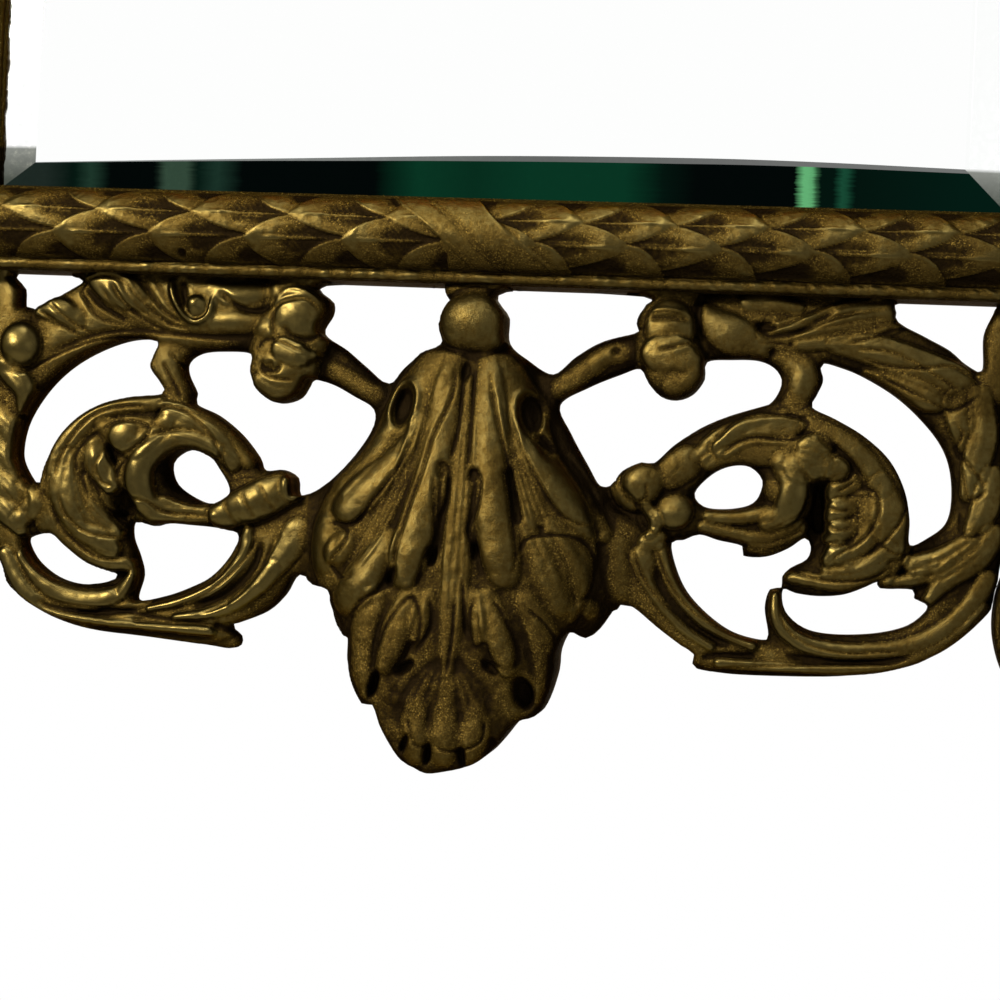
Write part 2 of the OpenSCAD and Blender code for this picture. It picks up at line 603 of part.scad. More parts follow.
module eye_cutter(half_w, half_h) {
    rotate([90, 0, 0]) linear_extrude(height = far, center = true) scale([half_w, half_h])
        circle(r = 1, $fn = bead_fn);
}
module bottom_boss() on_bottom() boss(sight_w / 2);
module top_boss() on_top() boss(sight_w / 2);
module left_boss() on_left() boss(sight_h / 2);
module right_boss() on_right() boss(sight_h / 2);
module bottom_scroll_left() on_bottom() scroll_left(sight_w / 2);
module bottom_scroll_right() on_bottom() scroll_right(sight_w / 2);
module top_scroll_left() on_top() scroll_right(sight_w / 2);
module top_scroll_right() on_top() scroll_left(sight_w / 2);
module left_scroll_upper() on_left() scroll_left(sight_h / 2);
module left_scroll_lower() on_left() scroll_right(sight_h / 2);
module right_scroll_lower() on_right() scroll_left(sight_h / 2);
module right_scroll_upper() on_right() scroll_right(sight_h / 2);

// The palmettes: five leaves that fan out from the frame's corner, the outer two along the rails.
// Drawn for the bottom right corner, from the rails' outer corner, each leaf as [x, z, half width, height].
fan_mid = [[2, -2, 12, 15], [24, -24, 14, 18], [46, -46, 18, 19], [66, -66, 15, 19], [84, -84, 3, 17]];
fan_near = [[4, -8, 9, 12], [15, -34, 11, 16], [26, -62, 15, 17], [35, -88, 14, 16], [40, -110, 3, 14]];
fan_side = [[-8, 6, 8, 10], [-7.5, -22, 7.5, 12], [-7.5, -46, 8, 13], [-9, -70, 8.5, 14],
    [-12.5, -92, 12, 15], [-13, -108, 10.5, 15], [-11.5, -126, 3, 13]];
palmette_heart = [4, -4, 13, 21];
// The block at the corner, as [half width, depth]
palmette_block = [16, 8];
function swapped(places) = [for (p = places) [-p[1], -p[0], p[2], p[3]]];
function sized(places) = [for (p = places) [p[0] * palmette_size, p[1] * palmette_size, p[2], p[3]]];
module palmette() {
    leaves = [fan_mid, fan_near, swapped(fan_near), fan_side, swapped(fan_side)];
    b = palmette_block;
    difference() {
        union() {
            for (s = leaves) bar(sized(s), cast_depth);
            bead(palmette_heart, cast_depth);
            translate([-b[0], -b[1], -b[0]]) cube([2 * b[0], b[1], 2 * b[0]]);
        }
        translate([-far, -far / 2, 0]) cube([far, far, far]);
        behind_back();
        for (a = [0, 1]) palmette_screw_place(a)
            cylinder(h = far, d = pilot_d, center = true, $fn = pilot_fn);
    }
}
// The palmette's screws come through each rail's wall, square to it
module palmette_screw_place(second) {
    y = wall_screw_y - cast_back_y;
    if (second) translate([0, y, palmette_in]) rotate([0, 90, 0]) limit_hole() children();
    else translate([-palmette_in, y, 0]) rotate([0, 180, 0]) limit_hole() children();
}
module limit_hole() {
    r = pilot_d;
    intersection() {
        children();
        translate([-r, -r, -past]) cube([2 * r, 2 * r, past + casting_screw_in]);
    }
}
module at_corner(sx, sz) {
    corner = [sight_w / 2 + rail_w, cast_back_y, -sight_h / 2 - rail_w];
    color(brass) scale_to(sx, -sz) translate(corner) children();
}
module palmette_bottom_right() at_corner(1, -1) palmette();
module palmette_bottom_left() at_corner(-1, -1) palmette();
module palmette_top_right() at_corner(1, 1) palmette();
module palmette_top_left() at_corner(-1, 1) palmette();

// Screws from the recess through the outer wall into the castings
wall_screw_len = wall_t + casting_screw_in - past;
module wall_screw(x) {
    translate([x, wall_screw_y, -wall_r]) rotate([180, 0, 0]) screw(wall_screw_len);
}
module casting_screws() {
    color(bright_brass) {
        on_bottom() for (x = casting_holes(sight_w / 2)) wall_screw(x);
        on_top() for (x = casting_holes(sight_w / 2)) wall_screw(x);
        on_left() for (x = casting_holes(sight_h / 2)) wall_screw(x);
        on_right() for (x = casting_holes(sight_h / 2)) wall_screw(x);
    }
}
module palmette_screws() {
    color(bright_brass) {
        on_bottom() for (x = palmette_holes(sight_w / 2)) wall_screw(x);
        on_top() for (x = palmette_holes(sight_w / 2)) wall_screw(x);
        on_left() for (x = palmette_holes(sight_h / 2)) wall_screw(x);
        on_right() for (x = palmette_holes(sight_h / 2)) wall_screw(x);
    }
}

bottom_rail();
top_rail();
left_rail();
right_rail();
bottom_boss();
top_boss();
left_boss();
right_boss();
bottom_scroll_left();
bottom_scroll_right();
top_scroll_left();
top_scroll_right();
left_scroll_upper();
left_scroll_lower();
right_scroll_upper();
right_scroll_lower();
palmette_bottom_left();
palmette_bottom_right();
palmette_top_left();
palmette_top_right();
mirror_glass();
silvering();
backboard();
cork_slips();
corner_plate_1();
corner_plate_2();
corner_plate_3();
corner_plate_4();
corner_plate_screws();
turn_button_1();
turn_button_2();
turn_button_3();
turn_button_4();
turn_button_5();
turn_button_6();
turn_button_screws();
hanger_plate_left();
hanger_plate_right();
hanger_ring_left();
hanger_ring_right();
hanger_screws();
casting_screws();
palmette_screws();
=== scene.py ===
"""Wall mirror in cast brass: the finish of every part, and the view of the photograph."""
import math

import bpy
import numpy as np
from mathutils import Matrix, Vector

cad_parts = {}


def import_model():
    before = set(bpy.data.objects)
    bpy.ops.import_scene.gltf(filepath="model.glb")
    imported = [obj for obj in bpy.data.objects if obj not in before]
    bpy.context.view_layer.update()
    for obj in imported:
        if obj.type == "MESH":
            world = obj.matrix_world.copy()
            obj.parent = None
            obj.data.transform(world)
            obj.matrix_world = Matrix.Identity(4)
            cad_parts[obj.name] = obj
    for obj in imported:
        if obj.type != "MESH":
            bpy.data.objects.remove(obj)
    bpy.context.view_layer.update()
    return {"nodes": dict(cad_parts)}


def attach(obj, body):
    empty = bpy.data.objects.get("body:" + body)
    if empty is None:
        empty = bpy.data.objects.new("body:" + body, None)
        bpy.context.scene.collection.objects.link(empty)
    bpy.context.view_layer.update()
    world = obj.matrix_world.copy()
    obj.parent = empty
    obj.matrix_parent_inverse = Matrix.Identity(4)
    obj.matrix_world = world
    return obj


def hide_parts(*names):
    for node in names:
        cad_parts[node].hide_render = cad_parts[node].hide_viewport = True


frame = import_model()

# Sizes in millimetres, as in part.scad. Lengths turn into metres where a mesh is made
MM = 0.001
SIGHT_W, SIGHT_H, RAIL_W = 324.0, 396.0, 27.0
CAST_BACK, SEAT_Z = -3.0, 2.0
JOINT_LEFT, JOINT_RIGHT, PATTERN_HALF = -48.0, 45.0, 189.0
GLASS_FRONT, GLASS_T, GLASS_GAP, REBATE_R = -18.2, 5.0, 1.0, 7.0
BEVEL_W, BEVEL_DROP = 12.5, 1.8
BOSS_WALL = 5.0

# The photograph's camera: its lens in millimetres, its angles in degrees, and what it looks at
CAMERA_YAW, CAMERA_ROLL, CAMERA_FAR = 8.0, 2.7, 700.0
CAMERA_LENS, CAMERA_SENSOR = 78.75, 36.0
CAMERA_TARGET = (8.0, -10.0, -293.0)

# The same camera, seen from the castings' own plane. Places are read on the plane y = -10, and a point
# at another height above the casting's back really lies nearer or further from this centre
EYE_X, EYE_Z, EYE_TO_BACK, EYE_TO_PLANE = 105.4, -66.0, 700.2, 693.2

# How forms meet: the crease round a form's foot and the dark there, as grime and painted crease shade, and
# the rounding of the outline
CREASE_W, FOOT_W, FOOT_SHADE_AND_DIRT = 0.9, 0.7, 0.7
EDGE_R, EDGE_DROP = 2.2, 3.0
# The heights of a piercing's front and back edges, how far round an outline its distance is worked out,
# and the least height of the metal
HOLE_HEIGHTS, OUTLINE_REACH, THINNEST = (7, 0), 8, 3.0

# The cast surface: the height of its two grains and their sizes, and how much rougher dirty places are
GRAIN_RISE, GRAIN_COARSE, GRAIN_FINE, GRAIN_SOILED = 0.045, 2.4, 1.0, 6
CAST_BLUR = 0.35

# Wear runs from 0, dark with grime and painted shade, to 1, rubbed bright. It follows how far a place stands
# out from the mean height within each of three distances, so that hollows are dark with patina and painted
# shade, and it falls by the grime and painted crease shade
WEAR_MEAN, WEAR_SWING, WEAR_LIMIT, WEAR_BY_DIRT_AND_SHADE = 0.42, 0.36, 0.36, 0.30
WEAR_NEAR, WEAR_WIDE, WEAR_BROAD = (0.9, 0.34), (3.2, 0.30), (8.0, 0.05)
# The wear of what isn't carved: castings' backs, edges, and joint faces, and the rails' backs. The edges are
# kept dark, as grime and painted shade on the side walls
WEAR_BACK, WAIST_DIRT_AND_SHADE, WEAR_JOINT, WEAR_RAIL_BACK = 0.38, 0.17, 0.2, 0.40


def real(places, height):
    """Moves places [x, z, ...] read on the plane y = -10 to where they lie at this height."""
    p = np.array(places, float)
    k = (EYE_TO_BACK - height) / EYE_TO_PLANE
    p[:, 0] = EYE_X + (p[:, 0] - EYE_X) * k
    p[:, 1] = EYE_Z + (p[:, 1] - EYE_Z) * k
    return p


def curve(points, gap=1.5, closed=False):
    """A smooth curve through the points, which may carry more values than x and z."""
    p = np.array(points, float)
    if closed:
        p = np.concatenate([p[-1:], p, p[:2]])
    else:
        p = np.concatenate([2 * p[:1] - p[1:2], p, 2 * p[-1:] - p[-2:-1]])
    out = []
    for a, b, c, d in zip(p[:-3], p[1:-2], p[2:-1], p[3:]):
        steps = max(1, math.ceil(np.hypot(*(c - b)[:2]) / gap))
        t = (np.arange(steps) / steps)[:, None]
        out.append(b + 0.5 * t * (c - a + t * (2 * a - 5 * b + 4 * c - d + t * (3 * (b - c) + d - a))))
    return np.concatenate(out if closed else out + [p[-2:-1]])


def blur(field, cells):
    """Gaussian blur over that many cells, by separate rows and columns."""
    n = max(1, math.ceil(3 * cells))
    k = np.exp(-0.5 * (np.arange(-n, n + 1) / cells) ** 2)
    k /= k.sum()
    f = np.pad(field, n, mode="edge")
    f = sum(w * f[i:i + field.shape[0], :] for i, w in enumerate(k))
    return sum(w * f[:, i:i + field.shape[1]] for i, w in enumerate(k))


def grain(shape, cells, seed):
    """Smooth noise of about unit size, over that many cells."""
    rng = np.random.RandomState(seed)
    f = blur(rng.normal(size=shape), cells)
    return f / f.std()


def fade_ends(way, start, end):
    """1 along a path, falling to 0 at its two ends. The way is the share of the path that is done."""
    return np.clip(start * way, 0, 1) * np.clip(end * (1 - way), 0, 1)


def flutes(u, side, way, lines, depth):
    """Fine lines that run along a band, as depths by the share of its width and the share of its length."""
    wave = 0.5 - 0.5 * np.cos(math.pi * (side * u + 1) * (lines + 1))
    return depth * fade_ends(way, 6, 5) * wave


class Relief:
    """A carved surface over the castings' plane: heights above the back, and how far inside the outline."""

    FAR = 99.0

    def __init__(self, x0, x1, z0, z1, step):
        self.step = step
        self.x = np.linspace(x0, x1, round((x1 - x0) / step) + 1)
        self.z = np.linspace(z0, z1, round((z1 - z0) / step) + 1)
        self.h = np.zeros((len(self.z), len(self.x)))
        self.edge = np.full(self.h.shape, -self.FAR)
        self.hollow = None
        self.press = 1.0
        self.soil = 0.0
        self.dirt_and_crease_shade = np.zeros_like(self.h)

    def window(self, lo, hi):
        """Index slices of the grid that cover this box, and the grid's places in it."""
        i0, i1 = np.searchsorted(self.x, [lo[0], hi[0]])
        j0, j1 = np.searchsorted(self.z, [lo[1], hi[1]])
        return (slice(j0, j1), slice(i0, i1)), self.x[i0:i1][None, :], self.z[j0:j1][:, None]

    def away(self, x, z, rx=1.0, rz=1.0):
        """How far each grid point lies from a place, in the radii of an upright oval round it."""
        return np.hypot((self.x[None, :] - x) / rx, (self.z[:, None] - z) / rz)

    def oval(self, x, z, rx, rz, tilt, reach):
        """The window round a tilted oval, and how far its points lie from the middle, 1 at the rim."""
        win, gx, gz = self.window([x - reach, z - reach], [x + reach, z + reach])
        c, s = math.cos(math.radians(tilt)), math.sin(math.radians(tilt))
        return win, np.hypot(((gx - x) * c + (gz - z) * s) / rx, ((gz - z) * c - (gx - x) * s) / rz)

    def distance(self, polygon):
        """Signed distance to a closed polygon, positive inside, over a window round it."""
        win, x, z = self.window(polygon.min(0) - OUTLINE_REACH, polygon.max(0) + OUTLINE_REACH)
        d = np.full(np.broadcast(x, z).shape, self.FAR)
        odd = np.zeros(d.shape, bool)
        for a, b in zip(polygon, np.roll(polygon, -1, 0)):
            dx, dz = b - a
            t = np.clip(((x - a[0]) * dx + (z - a[1]) * dz) / max(dx * dx + dz * dz, 1e-9), 0, 1)
            d = np.minimum(d, np.hypot(x - a[0] - t * dx, z - a[1] - t * dz))
            if abs(dz) > 1e-9:
                odd ^= ((a[1] > z) != (b[1] > z)) & (x < a[0] + (z - a[1]) * dx / dz)
        return win, np.where(odd, d, -d)

    def solid(self, points, height):
        """Adds an outline, read from the photograph."""
        win, d = self.distance(curve(real(points, height)[:, :2], 2.5, True))
        self.edge[win] = np.maximum(self.edge[win], d)

    def hole(self, points):
        """Cuts a piercing. What shows of it lies between its front edge and its back edge."""
        for height in HOLE_HEIGHTS:
            win, d = self.distance(curve(real(points, height)[:, :2], 2.0, True))
            self.edge[win] = np.minimum(self.edge[win], -d)

    def near(self, p, reach):
        """The grid points near a path: window, distance, side, share of the way, and the path's values."""
        lo = p[:, :2].min(0) - p[:, 2].max() - reach
        hi = p[:, :2].max(0) + p[:, 2].max() + reach
        win, x, z = self.window(lo, hi)
        d = np.full(np.broadcast(x, z).shape, self.FAR)
        at = np.zeros(d.shape)
        side = np.ones(d.shape)
        for i, (a, b) in enumerate(zip(p[:-1], p[1:])):
            r = max(a[2], b[2]) + reach
            sub, sx, sz = self.window(np.minimum(a, b)[:2] - r, np.maximum(a, b)[:2] + r)
            rows = slice(sub[0].start - win[0].start, sub[0].stop - win[0].start)
            cols = slice(sub[1].start - win[1].start, sub[1].stop - win[1].start)
            dx, dz = b[0] - a[0], b[1] - a[1]
            t = np.clip(((sx - a[0]) * dx + (sz - a[1]) * dz) / max(dx * dx + dz * dz, 1e-9), 0, 1)
            ex, ez = sx - a[0] - t * dx, sz - a[1] - t * dz
            e = np.hypot(ex, ez)
            better = e < d[rows, cols]
            d[rows, cols] = np.where(better, e, d[rows, cols])
            at[rows, cols] = np.where(better, i + t, at[rows, cols])
            side[rows, cols] = np.where(better, np.sign(dx * ez - dz * ex), side[rows, cols])
        index = np.arange(len(p))
        values = [np.interp(at, index, p[:, k]) for k in range(2, p.shape[1])]
        return win, d, side, at / (len(p) - 1), values

    def raise_to(self, win, top, inside, beyond, sink):
        """Lifts the ground part of the way to a form, with a fine crease round the form's foot, dark there
        with grime and painted crease shade.
        """
        ground = self.h[win]
        around = ~inside * (ground > 1)
        crease = sink * self.press * np.clip(1 - beyond / CREASE_W, 0, 1) ** 2 * around
        foot = FOOT_SHADE_AND_DIRT * np.clip(1 - beyond / FOOT_W, 0, 1) * around
        self.dirt_and_crease_shade[win] = np.maximum(np.where(inside, 0, self.dirt_and_crease_shade[win]), foot)
        lifted = ground + self.press * np.maximum(top - ground, 0)
        self.h[win] = np.where(inside, lifted, ground - crease)

    def stroke(self, places, drop=3.0, sink=0.0, power=2.0, wider=0.0, seen=True, lines=0, line_depth=0.3):
        """A raised band of round section along places [x, z, half width, height], over what is there."""
        p = curve(places)
        if seen:
            p = real(p, p[:, 3])
        p[:, 2] += wider
        win, d, side, way, (w, h) = self.near(p, 2.0)
        u = d / w
        rise = (1 - np.clip(u, 0, 1) ** power) ** (1 / power)
        top = h - drop * (1 - rise)
        if lines:
            top -= flutes(u, side, way, lines, line_depth)
        self.raise_to(win, top, u < 1, d - w, sink)

    def ridge(self, places, power=0.6, lines=0, line_depth=0.3, height=28):
        """A swelling along places [x, z, half width, rise], added to the ground."""
        p = real(curve(places), height)
        win, d, side, way, (w, rise) = self.near(p, 0.5)
        u = np.clip(d / w, 0, 1)
        top = rise * (1 - u * u) ** power
        if lines:
            top -= flutes(u, side, way, lines, line_depth) * (u < 1)
        self.h[win] += top

    def groove(self, points, width=0.9, depth=0.9, height=13, seen=True):
        """A line cut along the points, or raised where depth is negative. It fades at both ends."""
        p = curve([[*q[:2], width] for q in points])
        if seen:
            p = real(p, height)
        win, d, _, way, _ = self.near(p, 2 * width)
        line = fade_ends(way, 8, 8) * np.exp(-(d / width) ** 2) * (d < 3 * width)
        self.h[win] -= depth * line
        # A cut line is dark along its bottom, as grime and painted crease shade
        if depth > 0:
            self.dirt_and_crease_shade[win] = np.maximum(self.dirt_and_crease_shade[win], line * min(depth, 1))

    def score(self, lines, width, depth, height):
        """Crisp lines with a low burr on both sides, as a chaser's tool leaves them."""
        for points in lines:
            self.groove(points, 2.4 * width, -0.3 * depth, height)
            self.groove(points, width, 1.3 * depth, height)

    def fan(self, first, last, count, width=0.7, depth=0.6, height=13):
        """Grooves that lie evenly between the first line and the last."""
        a, b = np.array(first, float), np.array(last, float)
        for k in range(count):
            self.groove(a + (b - a) * k / (count - 1), width, depth, height)

    def dome(self, x, z, rx, rz, h, drop=3.0, tilt=0.0, sink=0.5, seen=True):
        """A round or oval boss. The tilt is in degrees, anticlockwise."""
        if seen:
            x, z = real([[x, z]], h)[0]
        win, u = self.oval(x, z, rx, rz, tilt, max(rx, rz) + 2)
        top = h - drop * (1 - np.sqrt(np.clip(1 - u * u, 0, 1)))
        self.raise_to(win, top, u < 1, (u - 1) * min(rx, rz), sink)

    def pit(self, x, z, rx, rz, depth, height=13, tilt=0.0):
        """A hollow with a soft edge."""
        x, z = real([[x, z]], height)[0]
        win, u = self.oval(x, z, rx, rz, tilt, max(rx, rz) * 1.6)
        out = np.clip((u - 0.55) / 0.75, 0, 1)
        self.h[win] -= depth * (1 - out ** 2 * (3 - 2 * out))

    def mean_height(self, solid, reach):
        """The mean height of the casting within about this distance."""
        cells = reach / self.step
        return blur(self.h * solid, cells) / (blur(solid, cells) + 0.02)

    def finish(self, seed):
        """Rounds the outline over, adds the cast surface, and works out where it is worn and where dark, with
        grime, patina and painted shade in the hollows.
        """
        coarse = grain(self.h.shape, GRAIN_COARSE / self.step, seed)
        rough = GRAIN_RISE * coarse + GRAIN_RISE * grain(self.h.shape, GRAIN_FINE / self.step, seed + 1)
        rough *= 1 + GRAIN_SOILED * np.maximum(self.soil, 0)
        self.h = np.maximum(blur(self.h, CAST_BLUR / self.step) + rough, THINNEST)
        solid = np.clip(self.edge + 0.5, 0, 1)
        # Hollows come out darker than the forms round them, as patina and painted shade, and places that
        # stand out come out rubbed bright
        near, wide, broad = (self.mean_height(solid, form[0]) for form in (WEAR_NEAR, WEAR_WIDE, WEAR_BROAD))
        high = WEAR_NEAR[1] * (self.h - near) + WEAR_WIDE[1] * (near - wide) + WEAR_BROAD[1] * (wide - broad)
        worn = WEAR_MEAN + WEAR_SWING * np.tanh(high / WEAR_LIMIT) - WEAR_BY_DIRT_AND_SHADE * self.dirt_and_crease_shade - self.soil
        self.worn = np.clip(worn, 0.02, 1)
        rim = np.clip(self.edge / EDGE_R, 0, 1)
        self.foot = np.maximum(self.h - EDGE_DROP, 0.45 * self.h)
        self.h = self.foot + (self.h - self.foot) * np.sqrt(1 - (1 - rim) ** 2)


# The carved pattern, read from the photograph. A band is places [x, z, half width, height] along its
# middle. Outlines and piercings are closed lines of places [x, z]
RING_L = [[-58, -9, 8, 10], [-84, -9, 10.5, 12], [-115, -8.5, 11, 12], [-129, -12.5, 10, 12],
          [-141, -20, 9, 12], [-150.5, -32, 7.5, 11], [-155.5, -46, 7.5, 11], [-157, -60, 7, 11],
          [-155, -75, 7, 11], [-149.5, -90, 6.5, 10], [-140.5, -102.5, 8, 10], [-125, -108.5, 7, 10],
          [-112, -107, 4.5, 10], [-110, -93, 2, 8]]
CURL_L = [[-112, -88, 4, 9], [-124, -85, 9, 12], [-132, -76, 12, 14], [-133, -63, 12, 14],
          [-126, -52, 11, 14], [-113, -46, 9, 13], [-99, -46, 8.3, 12], [-87, -51, 7.3, 11],
          [-78, -60, 6.5, 10], [-71, -67, 8, 13], [-60, -66, 5, 12]]
LIP_L = [[-100, -48, 4, 11], [-111, -59, 7, 14], [-109, -70, 7, 13], [-97, -76, 4.5, 9], [-80, -72, 5, 10],
         [-73, -70, 5, 10]]
STRUT_L = [[-101, -10, 7, 9], [-103.5, -27, 5.5, 10], [-98, -44, 5.5, 9]]
EAR_L = [[-62, 6, 7, 12], [-60, -9, 9.5, 15], [-65.5, -28, 9.6, 15], [-66, -37, 4, 12]]
ROD_L = [[-64, -20, 5, 8], [-48, -25.5, 4.2, 8], [-38, -32, 4.2, 8], [-20, -42, 5, 8]]
STEM_L = [[-36, -78, 12, 14], [-57, -82, 12, 12], [-70, -93, 9.5, 11], [-82, -105, 8, 10],
          [-98, -111, 6, 9], [-126, -112, 4, 8]]
POST_L = [[-160, 6, 5, 8], [-158, -8, 5.5, 9], [-155.5, -24, 7, 14], [-155, -31, 4, 10]]
RING_R = [[58, -9, 8, 10], [84, -9, 9.5, 12], [113, -9, 11, 12], [128, -12.5, 11, 12], [140, -21, 10, 12],
          [150.5, -32, 9, 12], [156, -46, 9, 11], [157.5, -60, 9, 11], [156, -75, 9, 11],
          [150.5, -90, 8.5, 10], [140, -103, 8, 10], [125, -109.5, 6.5, 10], [108, -109, 5, 9],
          [99, -101, 3.6, 8], [97, -90.5, 2, 6]]
CURL_R = [[101, -88, 2.5, 6], [112, -85, 6.5, 10], [122, -78, 10.5, 13], [125, -66, 12, 14],
          [121, -53, 12, 14], [111, -44.5, 10.5, 14], [98, -41.5, 9, 13], [86, -44, 8, 12],
          [75, -49, 6.6, 11], [65, -54, 6.5, 13], [52, -59, 6.5, 14]]
LIP_R = [[94, -46, 6, 11], [99, -58, 6.5, 14], [94, -68, 5, 11], [77, -70, 4.5, 9], [64, -67.5, 6, 12],
         [52, -72, 5, 9]]
STRUT_R = [[99, -10, 8, 9], [102, -24, 6.2, 11], [99, -37, 6, 9]]
EAR_R = [[60, 6, 7.5, 12], [59, -9, 8, 14], [62, -23, 9.5, 15], [62, -31, 4, 12]]
ROD_R = [[62, -16.5, 5, 8], [44, -18.5, 4.4, 8], [34, -24, 4.4, 8], [14, -38, 6, 8]]
STEM_R = [[34, -80, 12, 14], [48, -84, 12, 12], [58, -93, 9, 11], [69, -104, 8, 10], [84, -110.5, 5.5, 9],
          [112, -113, 3.5, 8]]
SPRAY_R = [[158, -74, 6, 9], [146, -82, 6, 8], [131, -87, 3, 6]]
POST_R = [[164, 6, 5, 8], [162.5, -8, 5.5, 9], [159, -24, 6.5, 12], [158, -30, 4, 10]]
BANDS = [RING_L, CURL_L, LIP_L, STRUT_L, EAR_L, ROD_L, STEM_L, POST_L,
         RING_R, CURL_R, LIP_R, STRUT_R, EAR_R, ROD_R, STEM_R, SPRAY_R, POST_R]

LEFT_OUTLINE = [[-22, 6], [-166, 6], [-165, -8], [-163.5, -22], [-163, -40], [-164, -60], [-163, -76],
                [-160.5, -88], [-158.5, -97], [-156, -102.5], [-148, -107.5], [-138, -112], [-125, -115],
                [-105, -116.5], [-88, -118], [-80, -118.8], [-76.5, -117.5], [-76.5, -114.5], [-79, -112.5],
                [-79.5, -110.8], [-78, -110.5], [-68, -106], [-62, -100], [-58, -93.5], [-50, -94],
                [-22, -90]]
RIGHT_OUTLINE = [[14, 6], [169, 6], [168, -8], [166.5, -25], [165.5, -46], [166.5, -60], [166, -75],
                 [164.5, -88], [163.5, -92.5], [160, -97], [155, -102], [150, -106], [145, -109],
                 [140, -111.5], [130, -114.5], [120, -116], [110, -117], [90, -117.7], [80, -117.5],
                 [73, -116.7], [71.5, -115], [72, -112], [70, -110.5], [68, -109.5], [60, -104], [52, -98],
                 [47.5, -97.5], [14, -90]]
BOSS_OUTLINE = [[-13, 6], [-13, 0], [-15.8, -5], [-16, -10], [-15, -15], [-14, -18], [-20, -20], [-26, -25],
                [-30.5, -30], [-34.5, -38], [-34.5, -44], [-38, -51], [-45, -60], [-55, -67], [-58, -80],
                [-55, -95], [-46, -97.5], [-45.5, -103], [-44, -109], [-41, -112], [-38.5, -112.5],
                [-38.5, -118], [-37, -126], [-32.5, -133], [-28.5, -133], [-26, -139], [-22.5, -145],
                [-18.5, -150], [-14, -152], [-10, -153.5], [-4, -152.5], [3, -150.5], [8, -147.5],
                [12, -143], [17.5, -136], [23, -134], [26, -129], [28.5, -120], [29, -113], [32, -107],
                [37, -109], [41, -106], [45, -100], [47.5, -97.5], [50, -80], [46, -66], [40, -60],
                [36, -54], [30, -44], [26, -35], [23, -25], [15, -21], [9, -17], [9.4, -10], [8.8, -5],
                [6.8, 0], [6.8, 6]]
HOLES = [
    [[-156, 1], [-137, 1], [-137, -2], [-145, -6.5], [-152, -10.5], [-153, -4]],
    [[-107.5, -19.5], [-115, -19.5], [-125, -23], [-135, -29], [-143, -37], [-149, -47], [-151, -56],
     [-150, -62], [-145, -68.5], [-143, -62], [-139, -53], [-133, -46], [-125, -41], [-115, -38],
     [-105, -36.5], [-106, -33], [-110, -28], [-109, -24]],
    [[-92, -23], [-85, -22], [-75.5, -22.5], [-75.5, -28], [-73, -34], [-68, -37.5], [-63, -38], [-58, -36],
     [-55.5, -32], [-54, -30], [-48, -31.5], [-41, -35], [-36, -37.5], [-34.5, -40], [-34.5, -44], [-38, -51],
     [-45, -60], [-52, -65.5], [-57, -67.5], [-58, -62], [-63, -59.5], [-69, -60], [-71, -56], [-77, -49],
     [-85, -43], [-93, -39.5], [-93, -36], [-96, -30], [-96, -26]],
    [[-52, 0.5], [-49, -5], [-49, -9], [-51.5, -15], [-44, -20], [-37, -25.5], [-30.5, -30], [-26, -25],
     [-20, -20], [-14, -17], [-15.5, -10], [-14, 0.5]],
    [[-94, -54.5], [-99, -57.5], [-100, -61], [-98, -66], [-92, -70], [-86, -71.5], [-81, -67.5],
     [-85, -60], [-88, -56.5]],
    [[-112, -79], [-112, -84], [-109.5, -90], [-108, -96], [-109.5, -104], [-103, -103], [-95, -100],
     [-86, -95], [-80, -88], [-78.5, -82], [-80.5, -80.3], [-87, -79.3], [-93, -79], [-100, -78.7],
     [-105, -80], [-109, -79.3]],
    [[-147.5, -87], [-146, -85], [-140, -84], [-135, -88], [-128, -93], [-119, -96.5], [-122, -99],
     [-129, -100], [-137, -98], [-144, -93]],
    [[108.5, -18.5], [113, -19.5], [120, -22], [130, -27.5], [138, -34], [145, -42], [148.5, -50],
     [149.5, -60], [148, -67], [143, -71.5], [137.5, -74], [137, -66], [135, -57], [130, -48], [122, -41],
     [113, -36], [105.5, -32.5], [106.5, -29], [108.5, -24], [107.5, -20]],
    [[72, -19.5], [80, -18.5], [88, -18.5], [93, -20.5], [95.5, -24], [95, -27.5], [93, -31], [92, -32],
     [80, -36], [71, -40], [63, -46], [57, -52], [53, -52], [47, -55], [44, -59], [40, -60], [36, -54],
     [30, -44], [26, -35], [35, -29], [45, -24.5], [51, -22.5], [54, -27], [58, -31], [63, -32],
     [68, -30], [71.5, -25]],
    [[7, 0.5], [51, 0.5], [52, -2], [50, -5], [49, -8], [50, -10.5], [48, -11], [38, -14], [30, -19],
     [23, -25], [15, -21], [9, -16], [8.5, -8]],
    [[130, -2], [132, 1.5], [158, 1.5], [160, 0], [157, -8], [157, -19], [152, -17], [147, -13],
     [140, -9.5], [131, -5]],
    [[70, -61], [75, -55], [81, -52], [87, -52], [91, -56], [90, -61], [87, -64], [80, -65.5], [73, -65]],
    [[63.5, -77], [65, -84], [69, -92], [76, -99], [84, -104], [93, -106], [95, -104.5], [93.5, -96],
     [95, -90], [98.5, -89.3], [98.5, -86], [101, -83], [106, -80], [107, -76], [105, -73.5], [100, -77],
     [93, -80], [86, -80], [85.5, -77], [78, -75.5], [72, -74], [67, -76]],
    [[99, -90], [103, -91], [110, -91.5], [118, -90.5], [125, -87.5], [128, -86], [129, -88], [139, -88],
     [139.5, -90.5], [143, -92], [143.5, -94], [138, -99], [128, -102], [115, -103], [106, -101.5],
     [100, -96.5]]]


